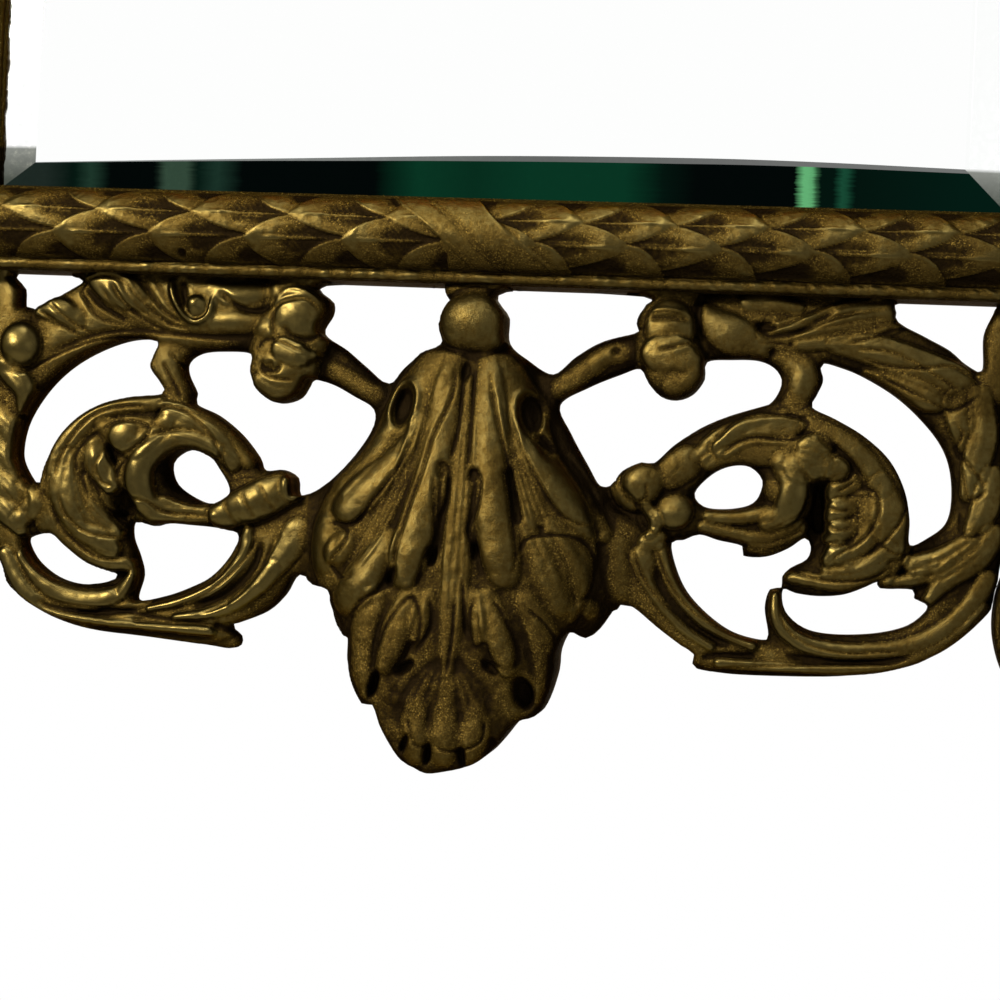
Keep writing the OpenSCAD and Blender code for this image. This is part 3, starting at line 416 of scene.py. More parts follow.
# Lines cut along the edges of leaves and folds, as the photograph shows them
LEFT_LINES = [
    [[-118.5, -3.5], [-120.5, 0], [-125.5, 1.5], [-132, 0.5],
     [-135, -3], [-133, -6.5], [-128.5, -12], [-119.5, -15]],
    [[-124.5, 0], [-118, -8.5], [-108.5, -14.5], [-102, -15.5]],
    [[-120.5, 1.5], [-114, -6], [-105, -13], [-96, -15]], [[-114, 0], [-107.5, -8], [-100, -13]],
    [[-149, -10.5], [-141.5, -14.5], [-133.5, -19]], [[-145.5, -7.5], [-138, -13.5], [-129.5, -18]],
    [[-158.5, -31], [-153, -31], [-147, -27.5], [-136, -22], [-123.5, -18.5], [-107, -17.5]],
    [[-140, -65.5], [-138, -58], [-132.5, -49], [-126, -43.5], [-117, -41], [-108, -41]],
    [[-123.5, -53], [-123, -48.5], [-119, -46], [-112.5, -46], [-108.5, -48],
     [-110, -52], [-114.5, -55.5], [-119, -57], [-123.5, -53]],
    [[-107.5, -48], [-107, -43], [-103.5, -40.5], [-97, -42],
     [-91.5, -46], [-86.5, -51.5], [-84, -58], [-80.5, -65]],
    [[-133, -65], [-133, -57.5], [-128.5, -51.5], [-124.5, -49.5]],
    [[-114.5, -58], [-118, -60.5], [-119, -64.5], [-115, -70.5], [-108, -72], [-103, -75], [-88.5, -75.5]],
    [[-132, -61.5], [-129, -69.5], [-122, -75.5], [-114, -76.5]],
    [[-138.5, -70], [-135.5, -77.5], [-128, -83], [-119, -84], [-114, -82.5]],
    [[-142, -73], [-136.5, -82.5], [-126, -90.5], [-116, -91.5]],
    [[-124, -56], [-126, -61], [-124, -66], [-119.5, -67.5]],
    [[-144, -105], [-134, -107], [-119, -108], [-104, -110], [-89, -111], [-81, -114.5]],
    [[-71.5, -80.5], [-76, -90], [-87, -100.5], [-100, -107]],
    [[-65.5, -81], [-70, -92.5], [-79, -102.5], [-91.5, -109]],
    [[-74.5, -21.5], [-71, -17.5], [-66, -18], [-56.5, -22]],
    [[-68, -17.5], [-69, -9], [-65.5, -5], [-58, -4], [-53, -7.5]],
    [[-73, -25.5], [-69, -29.5], [-60.5, -30.5]], [[-106.5, -26], [-103.5, -31], [-100, -37]],
    [[-104.5, -22.5], [-99, -28.5], [-96, -35.5]]]
RIGHT_LINES = [
    [[87, -6.5], [91.5, -8], [99, -5], [106.5, -1]], [[90.5, -10], [102, -8], [112, -4], [119.5, -1.5]],
    [[115, -12], [122.5, -10], [130, -7], [136, -6]],
    [[119, -16], [128, -18.5], [138, -19], [148, -18], [157, -22.5]],
    [[125.5, -21.5], [136, -26.5], [143.5, -30], [148.5, -31.5], [153, -29.5], [156.5, -26.5]],
    [[117.5, -13.5], [130, -14.5], [143, -21], [151, -26]],
    [[72.5, -47], [77.5, -42], [82.5, -37.5], [93, -35.5], [100.5, -35.5], [104.5, -37.5], [102.5, -40.5]],
    [[78, -49], [81.5, -45], [88, -42.5], [97, -43], [103.5, -42]],
    [[102.5, -41], [107, -40.5], [111.5, -42.5], [113, -45.5], [110.5, -48]],
    [[110.5, -48], [116, -47.5], [119, -50.5], [117.5, -54.5], [113, -55.5], [109, -55.5]],
    [[104, -52.5], [105.5, -55], [109, -55.5]], [[114.5, -58.5], [117, -57], [119.5, -55]],
    [[112, -63.5], [114.5, -64.5], [118.5, -64]], [[111.5, -69], [115, -70.5], [119.5, -69.5]],
    [[111.5, -74], [115, -75.5], [120, -74]],
    [[119.5, -57], [126, -58], [127.5, -64], [124, -72], [116.5, -77.5], [112.5, -81]],
    [[128, -74], [133, -77], [137, -77]], [[123, -78.5], [128, -75], [134, -67.5], [136, -61]],
    [[100, -83.5], [106.5, -85.5], [115.5, -86.5], [126, -85], [133, -80.5]],
    [[97.5, -94], [100, -101.5], [107.5, -107], [119.5, -109], [129.5, -108], [138.5, -107.5]],
    [[139, -108.5], [134.5, -111.5], [122, -112], [106.5, -113.5], [78.5, -116]],
    [[149.5, -35], [152, -39], [150.5, -44], [156, -50], [160, -55]],
    [[152.5, -50], [155, -59], [160.5, -56]], [[152.5, -63], [154, -70.5], [160.5, -69.5]],
    [[53.5, -5], [57.5, -4], [64, -5]], [[56.5, -16.5], [61, -15.5], [67, -14], [70, -18]],
    [[51.5, -65], [55, -62.5], [54.5, -58.5]], [[46, -60], [51.5, -65], [53, -71.5], [59.5, -75]],
    [[50.5, -78], [56.5, -91], [67.5, -101], [80.5, -108.5]],
    [[58.5, -78], [63, -89.5], [72.5, -99.5], [88.5, -107]]]
BOSS_LINES = [
    [[-9.5, -22], [-10, -33.5], [-15, -46.5], [-17.5, -57.5], [-22.5, -74], [-25, -87.5], [-23, -95]],
    [[-7, -23.5], [-7, -42], [-9, -54.5]],
    [[-13.5, -57.5], [-13, -69.5], [-12.5, -79.5], [-15, -84.5], [-18, -96]],
    [[-13.5, -57.5], [-12, -55], [-9.5, -56], [-9, -67], [-11.5, -73.5]],
    [[-3.5, -23.5], [-3, -42], [-3, -57]],
    [[-3, -57], [-0.5, -57], [1.5, -60], [1, -68], [-1.5, -76.5], [1.5, -81.5], [3, -91]],
    [[1, -22], [4, -35.5], [9, -51.5], [11, -61], [12, -71], [14, -83], [13, -93]],
    [[-20.5, -43], [-25, -55.5], [-33.5, -68], [-39.5, -75.5], [-45.5, -76], [-51.5, -75.5]],
    [[11.5, -34.5], [17, -46], [27, -50.5], [35, -60], [39.5, -69.5]],
    [[9.5, -41.5], [17.5, -56], [25.5, -68], [33, -72.5], [39, -72]],
    [[14, -85.5], [17.5, -78], [28.5, -76.5], [36, -79.5], [38.5, -87], [36.5, -95.5], [30.5, -100]],
    [[-29.5, -119], [-28, -111.5], [-25, -105], [-19, -98.5], [-15.5, -104.5],
     [-16, -112], [-19, -114], [-21, -118.5], [-25.5, -123.5]],
    [[-13, -98], [-12, -104.5], [-13.5, -110.5], [-17, -115]],
    [[1.5, -97.5], [0.5, -103.5], [2, -113], [6, -112], [8, -117], [14, -121.5]],
    [[7, -97], [12.5, -105.5], [16, -115], [14, -121.5]],
    [[17, -99], [25, -106], [28.5, -114.5], [26, -128]],
    [[-26.5, -88.5], [-27.5, -95], [-33.5, -99.5], [-40.5, -106]],
    [[-38.5, -92], [-43.5, -93.5], [-47.5, -89]], [[-18.5, -137], [-15.5, -145.5], [-10, -145.5]],
    [[-10, -145.5], [-3, -147], [5.5, -143.5], [6.5, -135.5]], [[-24.5, -89], [-30.5, -96.5], [-38, -102]],
    [[-45.5, -75.5], [-41.5, -80], [-47.5, -89]], [[-5, -97.5], [-5, -110], [-6.5, -124]],
    [[-2.5, -91.5], [-1.5, -103.5], [0, -111]]]


def left_rail_leaves(r):
    """Leaves that lie along the rail, the bands down the left edge, and the ear."""
    r.stroke([[-132, 2, 3, 13.5], [-126, -1, 5.5, 15], [-119, -4, 5.5, 15], [-113, -7.5, 2.5, 13.5]],
             2.5, 0.8)
    r.stroke([[-149, -10.5, 2.5, 13], [-143, -10, 4.5, 14.5], [-136, -13, 3.5, 13]], 2.5, 0.8)
    r.fan([[-135, -4], [-129, -10], [-121, -14], [-110, -15.5]],
          [[-111, 3], [-107, -3], [-102, -10], [-94, -14]], 8)
    r.groove([[-134, -2], [-128, -8], [-118, -13]], 0.8, 1.2)
    r.groove([[-148, -26], [-130, -18], [-115, -16], [-88, -17], [-75, -16]], 1, 1.3)
    r.groove([[-105, 2], [-103, -5], [-99, -11], [-95, -12.5], [-91, -9.5], [-90, -3]], 1, -2.4, 14)
    r.groove([[-101, 2], [-99.5, -5], [-97, -9], [-94, -9], [-93, -4]], 1.1, 2.2, 13)
    r.dome(-96, -7, 3.6, 3.6, 15, 3, 0, 0.8)
    r.ridge([[-90, -1, 3, 0.8], [-84, -3, 4, 1.4], [-77, -2, 4, 1.5], [-70, -1, 3, 1]], 0.8, height=13)
    r.ridge([[-89, -12, 3, 0.8], [-82, -12, 4, 1.4], [-75, -12.5, 4, 1.4], [-71, -14, 3, 0.8]],
            0.8, height=13)
    r.groove([[-88, -2], [-84, -5], [-79, -8], [-74, -8], [-69, -6]], 0.9, 1.4)
    r.dome(-156.5, -21.5, 7, 7.5, 19, 7, 0, 1.2)
    r.stroke([[-160, -30, 4, 15], [-154, -36, 4, 16], [-153, -43, 2.5, 14]], 3, 0.8, lines=2)
    for z in (-52, -61, -70, -79):
        r.stroke([[-162, z + 6, 5, 12.5], [-155.5, z, 4.2, 14], [-151.5, z - 5, 2.2, 13]],
                 2.5, 1, lines=2)
    r.dome(-61.5, -8.5, 9, 9.5, 17, 5, 0, 0.8)
    r.groove([[-70, -6], [-67.5, -1.5], [-63, 0], [-57, -2], [-54, -5]], 0.7, -1, 16)
    r.groove([[-66, -12], [-63, -16], [-58, -17], [-54, -15]], 0.8, 1, 16)
    r.dome(-65, -27, 10.5, 10.8, 17, 6, 0, 0.6)
    r.stroke([[-66, -20, 4, 18], [-60, -22, 4, 18.5], [-56, -22, 2, 16]], 2.5, 1)
    r.groove([[-73, -24], [-71.5, -27], [-68, -27.5], [-66, -25]], 0.8, 1.4, 16)
    r.pit(-70, -26, 1.6, 1.6, 1.4, 16)
    r.stroke([[-73, -31, 3, 15], [-66, -34, 3.5, 15.5], [-58, -31, 3, 15]], 2, 0.6)
    r.stroke([[-56, -23.5, 3.6, 10], [-44, -29, 3.4, 10], [-33, -35, 4, 10]], 3, 0)


def left_curl(r):
    """The curl, with its leaves folded over one another."""
    r.stroke([[-141, -70, 3.2, 15], [-140, -58, 3.4, 15.5], [-133, -48, 3.4, 15.5], [-122, -41.5, 3.2, 15],
              [-107, -39.5, 2.6, 14]], 2.2, 1)
    r.stroke([[-104, -41, 2.5, 14], [-94, -43.5, 2.8, 13.5], [-84, -49.5, 3, 13], [-76, -57, 3, 12]],
             2, 0.8, lines=1)
    r.stroke([[-125, -48, 3, 15], [-118, -50, 6, 17], [-110, -49, 5, 16], [-104, -46, 3, 15]], 2.5, 1.2)
    r.stroke([[-103, -45, 4.5, 15], [-95, -47, 4.5, 14.5], [-87, -51, 4, 14], [-81, -58, 3, 13]], 2.5, 0.8)
    r.stroke([[-118, -51, 5.5, 17.5], [-114, -53, 5, 17], [-108, -50, 3, 16]], 2.5, 0.8)
    r.stroke([[-136, -60, 4.5, 15], [-137, -70, 6, 16], [-133, -79, 4.5, 15.5], [-127, -83, 2.5, 14]],
             3, 1.2)
    r.stroke([[-128, -54, 3, 15], [-127, -60, 4.5, 16.5], [-122, -67, 3.5, 16]], 2.5, 1.2, lines=1)
    r.stroke([[-131, -66, 2.5, 14.5], [-127, -76, 3.5, 15], [-119, -83, 2.2, 14]], 2.2, 1, lines=2)
    r.stroke([[-136, -81, 2.6, 13], [-128, -84, 3.6, 15], [-121, -88, 3.2, 14.5]], 2.2, 1, lines=1)
    r.stroke([[-134, -87, 2.4, 12], [-124, -92, 3, 13], [-114, -93, 2.2, 12]], 2, 0.8, lines=1)
    r.fan([[-134, -56], [-132, -68], [-127, -78], [-118, -84]],
          [[-128, -58], [-127, -67], [-124, -74], [-118, -79]], 4, 0.6, 0.7, 15)
    r.pit(-117, -73, 3.2, 4.5, 7, 14, 20)
    r.pit(-122, -57, 1.2, 3.5, 3, 15, 20)


def left_eye(r):
    """The rolled lip round the eye."""
    r.stroke([[-87, -54, 2.8, 14.5], [-97, -51, 3.2, 16], [-107, -54, 4, 18], [-113, -61, 4.8, 18.5],
              [-112, -69, 4.6, 17.5], [-106, -75, 3.4, 14], [-98, -76.5, 2.4, 12]], 4.5, 1.2)
    r.stroke([[-111, -73.5, 2.5, 14], [-105, -77.3, 2.8, 13], [-96, -77.3, 1.9, 12], [-87, -76, 1.9, 12]],
             2, 0.8)
    r.stroke([[-104, -72, 2.4, 13], [-96, -74.2, 2.2, 12.5], [-89, -73.8, 1.8, 12]], 2, 0.3)


def left_bud(r):
    """The bud that ties the curl to the boss."""
    r.stroke([[-84, -75, 5.2, 15], [-73, -70, 6.3, 17], [-63, -65, 6, 16]], 5, 1.5)
    r.fan([[-84, -70], [-82, -74], [-79, -79]], [[-72, -64], [-69, -69], [-66, -73]], 3, 0.7, 0.6, 16)
    r.dome(-61, -64.5, 4.4, 5.2, 17, 4, 0, 0.6)


def left_ring(r):
    """The outer ring's lower part, its bands and grooves."""
    r.stroke([[-151, -68, 2.5, 13], [-148, -74, 3.5, 14.5], [-152, -80, 3, 13]], 2.2, 1, lines=1)
    r.stroke([[-150, -92, 3.2, 12], [-142, -101, 3.6, 12.5], [-131, -105.5, 3.8, 12.5],
              [-119, -103, 3, 12.5], [-112, -96, 2.2, 12]], 2.6, 1)
    r.stroke([[-157, -92, 3, 12], [-151, -102, 3, 13], [-141, -108.5, 2.2, 13], [-125, -112, 1.5, 12.5],
              [-105, -113, 1.5, 12], [-86, -113.5, 1.8, 12]], 2, 0.9)
    r.groove([[-146, -105.5], [-140, -108], [-131, -109.3], [-120, -109], [-108, -107]], 1, 2, 12)
    r.groove([[-128, -114], [-105, -115], [-84, -116]], 0.8, 1.2, 10)


def left_band(r):
    """The band that comes from the boss."""
    r.stroke([[-58, -80, 5.5, 14], [-63, -88, 4, 14], [-71, -98, 3, 13], [-82, -106, 2.2, 12.5],
              [-98, -109.5, 1.4, 12]], 2.5, 0.9, lines=1)
    r.stroke([[-66, -92, 3, 13.5], [-70, -97, 3, 13.5], [-78, -104, 2.4, 12.5]], 2, 0.8, lines=1)
    r.stroke([[-75, -80, 2.2, 12], [-76, -88, 2.4, 12], [-83, -97.5, 2.2, 12], [-95, -103.5, 1.8, 11.5],
              [-107, -107, 1.2, 11]], 2, 0.7)
    r.groove([[-70, -82], [-72, -91], [-80, -100], [-93, -106.5]], 1.4, 2.2, 12)
    r.groove([[-85, -111], [-80, -112.5], [-77, -114]], 1.2, 2, 10)


def carve_left(r):
    """The left C-scroll."""
    left_rail_leaves(r)
    left_curl(r)
    left_eye(r)
    left_bud(r)
    left_ring(r)
    left_band(r)


def right_rail_leaves(r):
    """Leaves that lie along the rail."""
    r.stroke([[70, -5, 4.5, 13], [79, -10, 6.5, 14.5], [88, -13, 5, 13.5]], 3, 0.6)
    r.stroke([[84, 0, 3, 13], [92, 0, 3, 13], [100, -1, 2, 13]], 2, 0.8)
    r.stroke([[90, -9.5, 3, 13.5], [102, -7.5, 4.6, 15], [115, -4, 5.5, 15.5], [127, -1, 4.5, 14]],
             2.6, 0.9, lines=1)
    r.stroke([[100, -13, 2, 13.5], [112, -11, 2.6, 14.5], [124, -8, 2.6, 14], [131, -6, 1.6, 13]], 2, 0.9)
    r.stroke([[112, -12.5, 3, 14], [124, -13.5, 5, 16], [137, -17.5, 5.6, 16.5], [149, -22, 5.6, 16],
              [153, -25, 4, 14]], 2.8, 1.1, lines=1)
    r.stroke([[122, -21, 2, 13], [132, -24, 3.6, 15], [141, -28, 4.2, 16], [146, -29.5, 2.6, 14.5]],
             2.6, 1)
    r.pit(90, -7.5, 3, 1.6, 2, 14, -10)
    r.groove([[86, -5], [90, -10], [98, -9.5], [106, -5], [112, -1]], 0.9, 1.5, 14)
    r.groove([[69, 2], [68.5, -6], [70, -14], [74, -18]], 1.1, 2, 13)
    r.groove([[90, -15], [100, -17.5], [104, -21]], 1, 1.2, 12)
    r.fan([[94, -12], [106, -10.5], [118, -8], [128, -5.5]],
          [[100, -4], [110, -1], [118, 1], [128, 2]], 4, 0.6, 0.5, 14)


def right_ear(r):
    """The ear, with the rod and the strut."""
    r.dome(59.5, -9, 8, 9.5, 17, 4, 0, 0.8)
    r.groove([[53, -4], [58, -3.5], [64, -4]], 0.8, -1, 16)
    r.groove([[53, -6], [58, -5.8], [66, -6]], 0.8, 1.1, 16)
    r.dome(62, -22.5, 10, 9.6, 18, 5.5, 0, 0.8)
    r.stroke([[56, -17, 5.5, 18.5], [63, -18, 6.5, 19], [67, -23, 4.5, 18.5], [62, -27, 4, 17.5]], 2.5, 0.6)
    r.stroke([[48, -16.5, 4, 10], [40, -18.5, 3.6, 10], [33, -24, 3.8, 10], [26, -30, 4.5, 10]], 3, 0)
    r.pit(43, -17, 1.3, 1.2, 1.5, 10)
    r.stroke([[96, -17, 4, 12], [102, -21, 4.6, 13.5], [102, -27, 4.6, 13.5], [99, -31, 3.5, 12]], 3.5, 0.6)


def right_ring_leaves(r):
    """Stem leaves on the outer ring."""
    r.stroke([[150, -29, 4.5, 13.5], [151.5, -36, 4, 15], [152, -43, 1.5, 13.5]], 2.2, 1.2, lines=1)
    r.stroke([[157, -27, 4, 13.5], [159, -38, 4.4, 15], [157, -47, 4.5, 14.5], [155, -57, 3, 14]],
             2.2, 1.2, lines=1)
    r.stroke([[162, -52, 4, 13.5], [160, -62, 4.6, 15], [156, -70, 2.6, 14]], 2.2, 1.2, lines=1)
    r.stroke([[163, -70, 4, 13.5], [158, -77, 4.6, 14.5], [150, -83, 4, 14], [144, -91, 2, 12.5]],
             2.2, 1.2, lines=2)
    r.stroke([[156, -72, 3, 13.5], [147, -78, 3.6, 14.5], [139, -80, 3.2, 14]], 2.2, 1, lines=2)
    r.stroke([[150, -80, 2.5, 12.5], [141, -84, 2.6, 13], [132, -86.5, 2, 12.5]], 2, 0.8, lines=1)


def right_curl(r):
    """The curl, with its scales."""
    r.stroke([[64, -53, 5.5, 15.5], [61, -56, 5, 15], [67, -51, 5.5, 15], [72, -48, 3, 13]], 3.5, 1.2)
    r.stroke([[71, -49, 2.6, 13.5], [76, -43.5, 3, 13.5], [87, -37.5, 2.2, 13], [97, -34.5, 1.6, 12.5]],
             2, 0.8)
    r.stroke([[78, -46, 3.6, 15], [86, -40.5, 4.6, 15.5], [96, -39.5, 4.8, 15.5], [101, -38.5, 2.5, 15]],
             2, 1, 4)
    r.stroke([[74, -51, 2.8, 14], [84, -48, 3.6, 14.5], [96, -47, 5, 16], [106, -48, 6, 17],
              [108, -52, 4, 16.5]], 2.5, 0.8, 3)
    r.dome(107, -45, 6, 5, 18, 2.2, 0, 1)
    r.dome(113, -50.5, 5, 4.6, 17.5, 2.2, 0, 1)
    r.dome(104, -51, 6.5, 5.5, 17.5, 2.5, 0, 0.4)
    r.stroke([[97, -50, 4, 16], [101, -57, 4.6, 17.5], [99, -65, 4.6, 17], [93, -69.5, 3, 14]], 3.5, 0.8)
    r.stroke([[105, -38, 3, 14], [114, -42, 3.6, 15], [122, -48, 3.8, 15.5], [128, -56, 3.8, 15.5]],
             2.2, 1)
    r.groove([[107, -41], [114, -45.5], [120, -51], [123.5, -58]], 0.9, 1.3, 15)
    for z in (-57, -64, -71, -78):
        r.stroke([[120.5, z + 2, 2.5, 14], [115, z, 3.6, 16.5], [112.5, z - 2, 2.2, 15.5]],
                 2.2, 1.2, lines=1)
    r.stroke([[128, -56, 4, 15], [131, -66, 6, 16.5], [132.5, -75, 4, 15]], 2.6, 0.8)
    r.stroke([[124, -62, 2.6, 14.5], [124.5, -72, 3.2, 15], [119, -80, 2.6, 14]], 2.2, 1, lines=1)
    r.stroke([[131, -76, 3, 14], [124, -82, 3.4, 14.5], [113, -84, 2.8, 13]], 2.4, 1, lines=1)
    r.stroke([[130, -82, 2.2, 12.5], [119, -87, 2.6, 13], [107, -86.5, 2.4, 11.5], [101, -86, 2, 10]],
             2.2, 0.9)
    r.pit(109, -63, 1.5, 7.5, 4.5, 14, 0)
    r.groove([[109, -55], [109.5, -63], [109, -72]], 1.6, 3, 14)


def right_eye(r):
    """The eye's lip and the bands below it."""
    r.stroke([[93, -66, 2.6, 13.5], [84, -68, 2.4, 13], [75, -68, 2.4, 12.5]], 2, 0.8)
    r.stroke([[103, -70, 3, 12.5], [93, -74.5, 2.8, 12], [82, -73, 2.2, 11.5], [73, -71.5, 2, 11.5]],
             2.2, 0.8)
    r.stroke([[104, -74, 2.4, 11], [96, -77.5, 2.4, 11], [88, -77.5, 1.6, 10]], 2, 0.6)


def right_buds(r):
    """The buds that tie the curl to the boss."""
    r.dome(53, -58.5, 6.8, 6.8, 18, 6, 0, 1.4)
    r.dome(63.5, -67, 6.2, 5.8, 17, 5, 20, 1.2)
    r.dome(57, -76.5, 5, 3.6, 15, 3, 20, 1)
    r.stroke([[55, -66, 2, 15], [58, -71, 2.2, 15.5], [56, -75, 1.6, 14]], 2, 1)


def right_ring(r):
    """The lower ring and the hook."""
    r.stroke([[162, -84, 3.6, 13], [156, -94, 3.6, 13], [147, -102, 3.4, 12.5], [135, -107, 3.2, 12],
              [118, -108.5, 3, 12], [105, -106, 2.8, 12], [98, -100, 2.6, 12], [96.5, -92, 1.8, 11]],
             2.2, 0.9)
    r.stroke([[162, -93, 2.2, 12], [152, -104, 2.4, 12], [138, -111, 2.2, 11.5], [120, -114, 1.8, 11],
              [98, -114.6, 1.6, 11], [80, -114, 2, 11]], 2, 0.8)
    r.groove([[140, -109], [128, -111], [112, -111.5], [100, -111]], 0.9, 1.6, 12)


def right_bands(r):
    """The bands that come from the boss."""
    r.stroke([[54, -82, 4, 14], [58, -91, 3, 13.5], [67, -102, 2.4, 12.5], [77, -109, 1.8, 12]],
             2.4, 0.9, lines=1)
    r.stroke([[61, -80, 3.2, 13.5], [65, -90, 3, 13], [75, -101, 2.6, 12.5], [90, -108, 2, 12]],
             2.4, 0.9, lines=1)
    r.groove([[57.5, -84], [62, -94], [72, -104], [84, -109.5]], 1.3, 2, 12)
    r.groove([[74, -113], [80, -111.8], [92, -111.5]], 1, 1.6, 10)


def carve_right(r):
    """The right C-scroll."""
    right_rail_leaves(r)
    right_ear(r)
    right_ring_leaves(r)
    right_curl(r)
    right_eye(r)
    right_buds(r)
    right_ring(r)
    right_bands(r)


def boss_body(r):
    """The swelling body of the leaf, under its petals."""
    body = [[-4, -12, 11, 13], [-4, -24, 19, 17], [-4, -36, 25, 20.5], [-4, -50, 31, 24], [-5, -64, 41, 26],
            [-5, -80, 46, 27.5], [-5, -94, 44, 28.5], [-4, -108, 37, 29], [-4.5, -122, 34, 29],
            [-5, -134, 30, 28.5], [-5, -144, 24, 28], [-5, -153, 17, 26]]
    p = curve(body)
    z = r.z[:, None]
    order = np.argsort(p[:, 1])
    middle, half, top = (np.interp(z, p[order, 1], p[order, k]) for k in (0, 2, 3))
    u = np.abs(r.x[None, :] - middle) / half
    rise = top * (0.48 + 0.52 * np.sqrt(np.clip(1 - u ** 2.4, 0, 1)))
    over = np.clip((1.4 - u) / 0.4, 0, 1)
    start = np.clip((-z - 12) / 8, 0, 1)
    r.h = np.maximum(r.h, np.where(u < 1, rise, 0.48 * top * over) * start * (z > -156))


def eye_rim(x, z, rx, rz, tilt):
    """Places round the rim of a tilted oval eye, from its lower right round the top to its lower left."""
    c, s = math.cos(math.radians(tilt)), math.sin(math.radians(tilt))
    rim = []
    for turn in np.linspace(math.radians(-60), math.radians(250), 9):
        across, along = rx * math.cos(turn), rz * math.sin(turn)
        rim.append([x + across * c - along * s, z + across * s + along * c])
    return rim


def boss_ball(r):
    """The collar, the ball and the shoulders under it."""
    r.stroke([[-13, 1, 2.4, 14.5], [-4, 1, 2.4, 15.5], [5, 1, 2.4, 14.5]], 2)
    r.dome(-3.6, -9, 12.4, 11, 21, 10, 0, 0.8)
    r.ridge([[-13, -20, 7, 1.2], [-17, -26, 8, 1.6], [-20, -33, 6, 0.8]], 1, height=18)
    r.ridge([[5, -20, 7, 1.2], [9, -26, 8, 1.6], [13, -33, 6, 0.8]], 1, height=18)


def boss_petals(r):
    """The two long inner petals and the ribbed stem between them."""
    r.ridge([[-10, -21, 3.6, 0.8], [-12, -31, 5, 2.2], [-13.5, -50, 5.6, 3], [-17, -70, 6.2, 3.6],
             [-20.5, -84, 6.6, 4], [-22.2, -91, 5, 3.4]], 0.55)
    r.ridge([[0.5, -21, 3.6, 0.8], [2, -31, 5, 2.2], [3.8, -50, 5.8, 3], [6, -70, 6.2, 3.6],
             [8.8, -83, 6.4, 3.8], [10.3, -89.5, 5, 3.2]], 0.55)
    for across in (-1.5, -0.5, 0.5, 1.5):
        r.ridge([[-5.2 + 0.7 * across, -27, 0.9, 0.6], [-4.7 + 1.5 * across, -46, 1.2, 1.2],
                 [-4.6 + 2.0 * across, -66, 1.4, 1.5], [-5.0 + 2.3 * across, -86, 1.5, 1.6],
                 [-5.6 + 1.8 * across, -104, 1.3, 1.3], [-6.4 + 0.8 * across, -123, 1, 0.5]], 0.6)
    r.pit(-5.5, -25.5, 1.5, 3, 1.8, 20)


def boss_hollows(r):
    """Drop hollows beside the stem."""
    r.pit(-11.3, -57.5, 1.5, 2.4, 1.8, 27)
    r.pit(-1.2, -58.5, 1.5, 2.2, 1.8, 27)
    r.groove([[-11.5, -58], [-12, -68], [-11.5, -78], [-13.5, -88]], 0.8, 1.3, 29)
    r.groove([[-0.5, -59], [-1, -68], [-2, -76], [0.5, -84]], 0.8, 1.3, 29)
    r.pit(-13.8, -85, 1.4, 3, 3, 30)
    r.pit(0.2, -83, 1.2, 2.6, 2.6, 30)


def boss_ribs(r):
    """Fine ribs in the valleys."""
    for shift in (0, 1.7, 3.4, 5.1):
        r.groove([[-17 - shift, -38], [-19 - shift, -50], [-24 - shift, -66], [-31 - shift, -82],
                  [-38 - shift * 0.8, -92]], 0.5, -1, 25)
        r.groove([[5 + shift, -30], [8.5 + shift, -46], [13 + shift, -60], [18 + shift * 1.3, -74]],
                 0.5, -1, 24)
    r.groove([[9.5, -55], [11.5, -64], [14.5, -74]], 1.3, 2.4, 27)
    r.pit(21, -75, 1.7, 1.5, 1.2, 28)


def boss_eyes(r):
    """The eyes and the outer petals that start from them."""
    for eye in ((-25.5, -36.5, 5, 8.2, -10), (16.5, -37.5, 4.8, 7.6, 12)):
        r.groove(eye_rim(*eye), 1.1, -1.3, 20)
    r.pit(-25.5, -37, 3.2, 6.2, 5, 20, -10)
    r.pit(16, -38, 3.4, 6.2, 5.5, 20, 12)
    r.pit(21.5, -48, 1.8, 5, 2.6, 20, 32)
    r.ridge([[-20.5, -40, 2.2, 0.8], [-24, -49, 3.4, 1.8], [-30, -57, 4.6, 2.6], [-36.5, -64.5, 6.2, 3.4],
             [-43, -70.5, 5.4, 3]], 0.6)
    r.ridge([[12, -38, 2.2, 0.8], [15, -47, 3.8, 2.2], [21.5, -55, 5.2, 3], [29, -64, 5.8, 3.4],
             [36, -71.5, 5.2, 3.2], [39.5, -75, 3.6, 2.4]], 0.6)
    r.ridge([[26, -42, 3, 0.8], [31, -52, 4.2, 1.4], [38, -62, 4.2, 1.4]], 0.9)
    r.ridge([[-32, -44, 3, 0.8], [-38, -54, 4.2, 1.4], [-46, -63, 4.2, 1.4]], 0.9)


def boss_lobes(r):
    """The side lobes."""
    r.ridge([[-43.5, -83, 4.8, 2.6], [-45.5, -85.5, 4.6, 2.6]], 0.6)
    r.ridge([[-27, -80, 3.4, 1.8], [-32.5, -88, 5.2, 3], [-37.5, -96, 6.4, 3.6], [-41.5, -101, 5.2, 3]],
            0.6)
    r.ridge([[-52, -78, 5.5, 1.6], [-52, -88, 5.5, 1.6]], 0.8)
    r.ridge([[15, -70, 3.4, 0.8], [20.5, -80, 5, 1.8], [25, -90, 5.4, 2.4], [28.5, -99, 4, 1.8]],
            0.8, 2, 0.4)
    r.ridge([[25, -74, 3.4, 0.8], [32, -83, 5, 2], [37, -93, 4.8, 2.4], [37.5, -101, 3.4, 1.6]],
            0.8, 1, 0.5)
    r.ridge([[36.5, -102, 5.6, 2.4], [39.5, -104, 5.2, 2.4]], 0.6)
    r.ridge([[43, -80, 6, 1.6], [44, -94, 5.5, 1.6]], 0.8)
    r.pit(-26.5, -92.5, 1.3, 3.2, 2.6, 30, -15)


